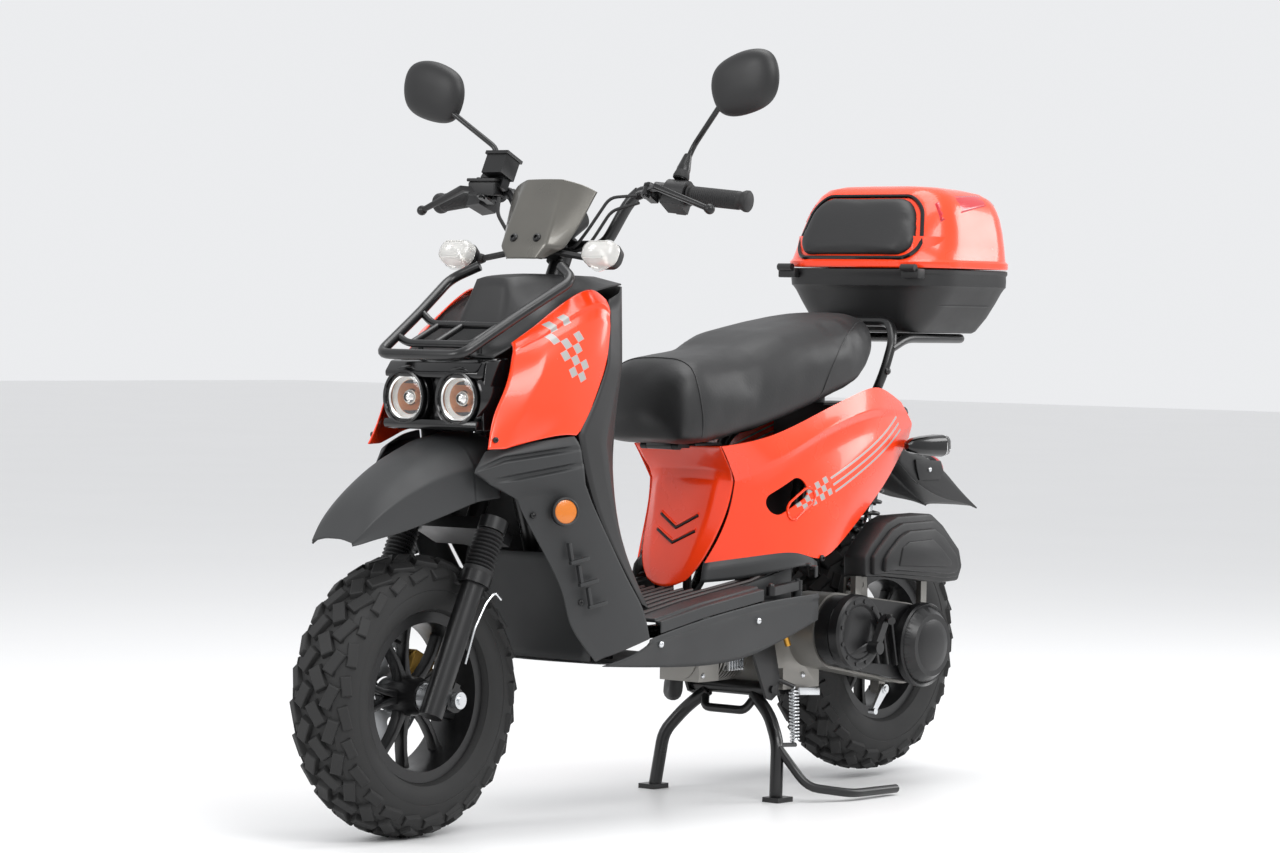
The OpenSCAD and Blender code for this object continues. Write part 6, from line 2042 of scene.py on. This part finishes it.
@dataclass
class Bars:
    """Handlebar, controls, mirrors, screen and front indicators."""

    bar_half: float = 352.0
    grip_in: float = 240.0
    rise: Point = (-7.0, 150.0, 947.0)
    tip: Point = (-52.0, 352.0, 947.0)

    def on_bar(self, y: float) -> tuple[float, float, float]:
        """The bar's centre line at a left-hand Y, in the steering frame."""
        t = (y - self.rise[1]) / (self.tip[1] - self.rise[1])
        return self.rise[0] + (self.tip[0] - self.rise[0]) * t, y, self.rise[2]

    def grip(self, side: int) -> BMesh:
        """A rubber grip with rings, ribs and a flared end.

        Args:
            side: 1 for the left grip, -1 for the right.

        Returns:
            The grip.
        """
        a, b = self.on_bar(self.grip_in), self.on_bar(self.bar_half)
        start, end = steer_at(a[0], side * a[1], a[2]), steer_at(b[0], side * b[1], b[2])
        long = (end - start).length / MM
        profile = [(0.5, 11.6), (0.5, 18.5), (4, 18.5), (5, 15)]
        count = 24
        for i in range(count):
            base = 8 + (long - 26) * i / count
            step = (long - 26) / count
            profile += [(base, 15.0), (base + 0.25 * step, 16.2), (base + 0.7 * step, 16.2)]
        profile += [(long - 16, 15), (long - 12, 16.3), (long - 7, 18.6), (long - 2, 18.6), (long, 16.5),
            (long, 0)]
        return turned(profile, start, end - start, 36)

    def lever(self, node: str, side: int) -> None:
        """Dresses a lever and gives it a ball end.

        Args:
            node: The CAD lever.
            side: 1 for the left lever, -1 for the right.
        """
        low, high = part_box(node)
        tip_y = high.y if side > 0 else low.y
        verts = [v.co for v in frame["nodes"][node].data.vertices if abs(v.co.y - tip_y) < 0.02]
        mid = sum((v for v in verts), Vector()) / len(verts)
        ball = bmesh.new()
        bmesh.ops.create_uvsphere(ball, u_segments=20, v_segments=12, radius=0.0075)
        bmesh.ops.translate(ball, vec=mid - Vector((0, side * 0.002, 0)), verts=ball.verts[:])
        shape = merged([cad_copy(node), ball])
        body = frame["nodes"][node]["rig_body"]
        piece(f"{node}_blade", shape, BLACK_CAST, body, (node,), edge_mm=1.0, sharp=40)

    def mirror_frame(self, side: int) -> Matrix:
        """The mirror head's own frame: X forward, Y outward along the head, Z up."""
        spot = steer_at(49, side * 324, 1098)
        return Matrix.Translation(spot) @ Matrix.Rotation(math.radians(12 * side), 4, "X")

    def mirror(self, side: int) -> None:
        """Builds one mirror: a rounded shell, a rim and the glass.

        Args:
            side: 1 for the left mirror, -1 for the right.
        """
        to_place = self.mirror_frame(side)
        outline = [(-44, -10), (-46, 12), (-38, 36), (-20, 50), (8, 57), (38, 60), (68, 56), (90, 44), (98, 22),
                   (97, -4), (86, -30), (64, -44), (34, -48), (0, -48), (-24, -42), (-38, -30)]
        mid = (30.0, 6.0)
        def level(x: float, grow: float) -> list[Vector]:
            """The outline at a depth, grown or shrunk about its middle."""
            loop = []
            for y, z in outline:
                dy, dz = (y - mid[0]) * grow, (z - mid[1]) * grow
                loop.append(to_place @ Vector((x * MM, side * (mid[0] + dy + 6) * MM, (mid[1] + dz + 8) * MM)))
            return loop
        shell = stack([
            level(-7, 0.9), level(-12, 0.93), level(-13, 0.99), level(-10, 1.0), level(-2, 0.98),
            level(6, 0.88),
            level(12, 0.68), level(15.5, 0.4), level(16.5, 0.15),
        ])
        tag = "left" if side > 0 else "right"
        piece(f"{tag}_mirror_shell", shell, BLACK_PP, f"mirror_{tag}", (f"{tag}_mirror",), 2, sharp=180)
        piece(f"{tag}_mirror_glass", stack([level(-8, 0.9), level(-9, 0.89)]), MIRROR, f"mirror_{tag}",
            sharp=40)

    def boots(self) -> BMesh:
        """Rubber boots on the mirror stems.

        Returns:
            The boots.
        """
        shapes = []
        for side in (1, -1):
            x, y, z = self.on_bar(219)
            start = steer_at(x + 6, side * y, z + 26)
            way = steer_at(x + 6, side * y, z + 80) - start
            shapes.append(turned([(0, 0), (0, 14), (4, 14.5), (10, 13), (20, 10.5), (30, 8.6), (40, 7.4),
                (46, 6), (46, 0)], start, way, 32))
        return merged(shapes)

    def reservoir(self) -> BMesh:
        """The brake fluid box with its lid on the right perch.

        Returns:
            The box.
        """
        spot = steer_at(*[(a + b) for a, b in zip((self.on_bar(186)[0], -186.0, 947.0), (26.0, 0.0, -2.0))])
        turn = Matrix.Translation(spot) @ Matrix.Rotation(math.radians(8), 4, "Z")
        shapes = []
        for low, high, edge in (((-22, -28, -14), (22, 28, 10), 3.0), ((-24, -30, 10), (24, 30, 16), 2.0)):
            bm = bmesh.new()
            bmesh.ops.create_cube(bm, size=1.0)
            bmesh.ops.scale(bm, vec=[(b - a) * MM for a, b in zip(low, high)], verts=bm.verts[:])
            bmesh.ops.bevel(bm, geom=bm.edges[:], offset=edge * MM, segments=3, profile=0.5, affect="EDGES",
                material=-1)
            bmesh.ops.translate(bm, vec=[(a + b) / 2 * MM for a, b in zip(low, high)], verts=bm.verts[:])
            bmesh.ops.transform(bm, matrix=turn, verts=bm.verts[:])
            shapes.append(bm)
        for y in (-20, 20):
            shapes.append(screw_head(turn @ Vector((0, y * MM, 16 * MM)), Vector((0, 0, 1)), 4))
        return merged(shapes)

    def screen(self) -> BMesh:
        """The small flyscreen.

        Returns:
            The open shell.
        """
        def row(points: Sequence[Point]) -> list[Point]:
            """A row from steering-frame points, turned into drawing points."""
            out = []
            for lead, y, up in points:
                p = steer_at(lead, y, up)
                out.append((p.x / MM - MID_X, p.y / MM, p.z / MM))
            return out
        rows = [
            row([(38, 95, 920), (56, 74, 926), (71, 40, 928), (73, 0, 928), (71, -40, 928), (56, -74, 926),
                (38, -95, 920)]),
            row([(39, 93, 910), (58, 72, 914), (72.5, 42, 915), (74, 0, 915), (72.5, -42, 915),
                (58, -72, 914), (39, -93, 910)]),
            row([(42, 84, 852), (60, 66, 850), (73, 48, 850), (74, 0, 850), (73, -48, 850), (60, -66, 850),
                (42, -84, 852)]),
            row([(46, 69, 808), (60, 60, 802), (72, 50, 800), (73.5, 0, 800), (72, -50, 800),
                (60, -60, 802), (46, -69, 808)]),
            row([(60, 40, 780), (64, 36, 779), (67, 32, 778), (68, 0, 778), (67, -32, 778), (64, -36, 779),
                (60, -40, 780)]),
        ]
        return cage(rows, (1, 0, 0.5), sharp_cols=(2, 4), sharp_rows=(3,))

    def indicators(self) -> None:
        """Adds the front indicators: black backs, stalks and ribbed clear lenses."""
        backs, lenses = [], []
        face = Vector((math.cos(RAKE), 0, math.sin(RAKE)))
        up = Vector((-math.sin(RAKE), 0, math.cos(RAKE)))
        for side in (1, -1):
            c = steer_at(34, side * 162, 794)
            backs.append(tube([steer_at(40, side * 36, 806), steer_at(28, side * 132, 796)], 5.5, 0, 12))
            s = steer_at(28, side * 122, 797)
            backs.append(turned([(0, 0), (0, 7), (6, 9), (16, 10.5), (18, 9), (18, 0)], s,
                steer_at(30, side * 150, 795) - s, 24))
            def loop(depth: float, half: float, high: float) -> list[Vector]:
                """A rounded oblong across the lamp's axis."""
                return [c + face * depth * MM + Vector((0, a * MM, 0)) + up * b * MM for a,
                    b in soft_square(half, high, high * 0.8, 40)]
            backs.append(stack([loop(-6, 24, 12), loop(-2, 32, 19), loop(10, 35, 22), loop(12, 35, 22)]))
            lenses.append(stack([loop(12.5, 34, 21.5), loop(24, 34, 21), loop(34, 31, 18), loop(38, 24, 12)]))
            for i in range(9):
                z = -16 + 4 * i
                a = c + face * 0.0365 + up * z * MM
                half = 0.026 - abs(z) * 0.0004
                lenses.append(tube([a - Vector((0, half, 0)), a + Vector((0, half, 0))], 1.1, 0, 6))
        piece("front_indicator_backs", merged(backs), BLACK_PP, "steering", ("front_indicators",), sharp=40)
        piece("front_indicator_lenses", merged(lenses), RIBBED, "steering", sharp=50)
        bulbs = []
        for side in (1, -1):
            c = steer_at(34, side * 162, 794)
            bulbs.append(turned([(10, 0), (13, 30), (13.5, 30), (14, 12), (16, 0)], c, face, 24))
            bulbs.append(turned([(14, 0), (14, 6), (26, 7), (30, 4), (31, 0)], c, face, 16))
        piece("front_indicator_bulbs", merged(bulbs), REFLECTOR, "steering", sharp=50)

    def dress(self) -> None:
        """Adds the handlebar's pieces."""
        refined("handlebar", POWDER_BLACK, 0.6, "handlebar_tube")
        piece("left_rubber_grip", self.grip(1), SOFT_RUBBER, "steering", ("left_grip",), sharp=50)
        piece("throttle_rubber_grip", self.grip(-1), SOFT_RUBBER, "throttle", ("throttle_grip",), sharp=50)
        refined("switch_housings", BLACK_PP, 2.5, "switch_blocks")
        refined("brake_master_cylinder", BLACK_CAST, 1.2, "perches")
        piece("fluid_reservoir", self.reservoir(), BLACK_PP, "steering", sharp=40)
        self.lever("left_lever", 1)
        self.lever("right_lever", -1)
        refined("instrument_pod", BLACK_PP, 2.5, "speedometer_pod")
        refined("mirror_stems", POWDER_BLACK, 0.8, "mirror_arms")
        piece("stem_boots", self.boots(), SOFT_RUBBER, "steering", sharp=50)
        plain("control_cables", SOFT_RUBBER)
        refined("horn_button", YELLOW_KEY, 0.8, "horn_key")
        refined("start_button", RED_KEY, 0.8, "start_key")
        refined("indicator_switch", BLACK_PP, 0.8, "indicator_key")
        piece("fly_screen", self.screen(), SMOKED, "steering", ("flyscreen",), 3, 2.6)
        heads = [screw_head(steer_at(72.5, side * 26, 815), steer_at(90, side * 26, 815) - steer_at(72,
            side * 26, 815), 8)
                 for side in (1, -1)]
        piece("screen_bolts", merged(heads), BLACK_CAST, "steering", sharp=40)
        for side in (1, -1):
            self.mirror(side)
        self.indicators()


# ---------- studio ----------


@dataclass
class Studio:
    """Floor, lights and camera."""

    eye: Point = (5532.2, 4453.1, 871.9)
    heading: float = 219.17
    pitch: float = -1.599
    roll: float = 0.975
    lens: float = 111.71

    def floor(self) -> None:
        """Lays the plain pale floor."""
        bm = bmesh.new()
        bmesh.ops.create_grid(bm, x_segments=1, y_segments=1, size=30.0)
        mesh = bpy.data.meshes.new("studio_floor")
        bm.to_mesh(mesh)
        bm.free()
        made = bpy.data.objects.new("studio_floor", mesh)
        bpy.context.scene.collection.objects.link(made)
        stone = bpy.data.materials.new("painted_studio_floor")
        stone.use_nodes = True
        tree = stone.node_tree
        tree.nodes.clear()
        place = add_node(tree, "ShaderNodeTexCoord").outputs["Object"]
        cloud = add_node(tree, "ShaderNodeTexNoise", {"Scale": 1.2, "Detail": 4.0}, {"Vector": place})
        rough = add_node(
            tree, "ShaderNodeMapRange", {"To Min": 0.34, "To Max": 0.5}, {"Value": cloud.outputs["Fac"]}
        )
        shader = add_node(
            tree, "ShaderNodeBsdfPrincipled", {"Base Color": linear("E9E9E9")}, {"Roughness": rough.outputs[0]}
        )
        out = add_node(tree, "ShaderNodeOutputMaterial")
        tree.links.new(shader.outputs[0], out.inputs[0])
        mesh.materials.append(stone)

    def light(self, name: str, place: Point, target: Point, wide: float, high: float, power: float) -> None:
        """Adds one soft box.

        Args:
            name: Its name.
            place: Where it hangs, in metres.
            target: What it points at, in metres.
            wide: Its width in metres.
            high: Its height in metres.
            power: Its power in watts.
        """
        data = bpy.data.lights.new(name, "AREA")
        data.shape = "RECTANGLE"
        data.size = wide
        data.size_y = high
        data.energy = power
        lamp = bpy.data.objects.new(name, data)
        bpy.context.scene.collection.objects.link(lamp)
        lamp.location = place
        lamp.rotation_euler = (Vector(target) - Vector(place)).to_track_quat("-Z", "Y").to_euler()

    def camera(self) -> None:
        """Sets the camera at the viewing position."""
        data = bpy.data.cameras.new("camera")
        data.lens = self.lens
        data.sensor_width = 36.0
        data.clip_end = 100.0
        holder = bpy.data.objects.new("camera", data)
        bpy.context.scene.collection.objects.link(holder)
        a, e, t = (math.radians(v) for v in (self.heading, self.pitch, self.roll))
        ahead = Vector((math.cos(a) * math.cos(e), math.sin(a) * math.cos(e), math.sin(e)))
        right = ahead.cross(Vector((0, 0, 1))).normalized()
        up = right.cross(ahead)
        turned_right = right * math.cos(t) + up * math.sin(t)
        turned_up = -right * math.sin(t) + up * math.cos(t)
        basis = Matrix((turned_right, turned_up, -ahead)).transposed().to_4x4()
        holder.matrix_world = Matrix.Translation(Vector(self.eye) * MM) @ basis
        bpy.context.scene.camera = holder

    def dress(self) -> None:
        """Adds the studio."""
        self.camera()
        self.floor()
        bpy.context.scene.view_settings.view_transform = "Standard"
        world = bpy.data.worlds.new("studio")
        bpy.context.scene.world = world
        world.use_nodes = True
        backdrop = world.node_tree.nodes["Background"]
        backdrop.inputs["Color"].default_value = linear("F1F2F4")
        backdrop.inputs["Strength"].default_value = 0.95
        self.light("key_box", (1.2, 3.4, 3.4), (0, 0, 0.6), 2.6, 1.6, 100)
        self.light("front_box", (4.2, -1.2, 2.6), (0.2, 0, 0.6), 1.8, 1.8, 70)
        self.light("top_box", (-0.4, 0.2, 4.2), (0, 0, 0), 3.6, 2.0, 95)
        self.light("rear_box", (-3.6, 2.2, 2.4), (-0.4, 0, 0.7), 1.6, 2.0, 60)


def main() -> None:
    """Builds every sub-assembly in order."""
    logging.basicConfig(level=logging.INFO, format="%(message)s")
    Studio().dress()
    Wheel("front", "front_wheel", 0, 235, 235).dress()
    Wheel("rear", "rear_wheel", -WHEELBASE, 254, 240).dress()
    Fork().dress()
    FrontBody().dress()
    Floor().dress()
    RearBody().dress()
    Seat().dress()
    TopBox().dress()
    Tail().dress()
    Drive().dress()
    Chassis().dress()
    Bars().dress()


if __name__ == "__main__":
    main()
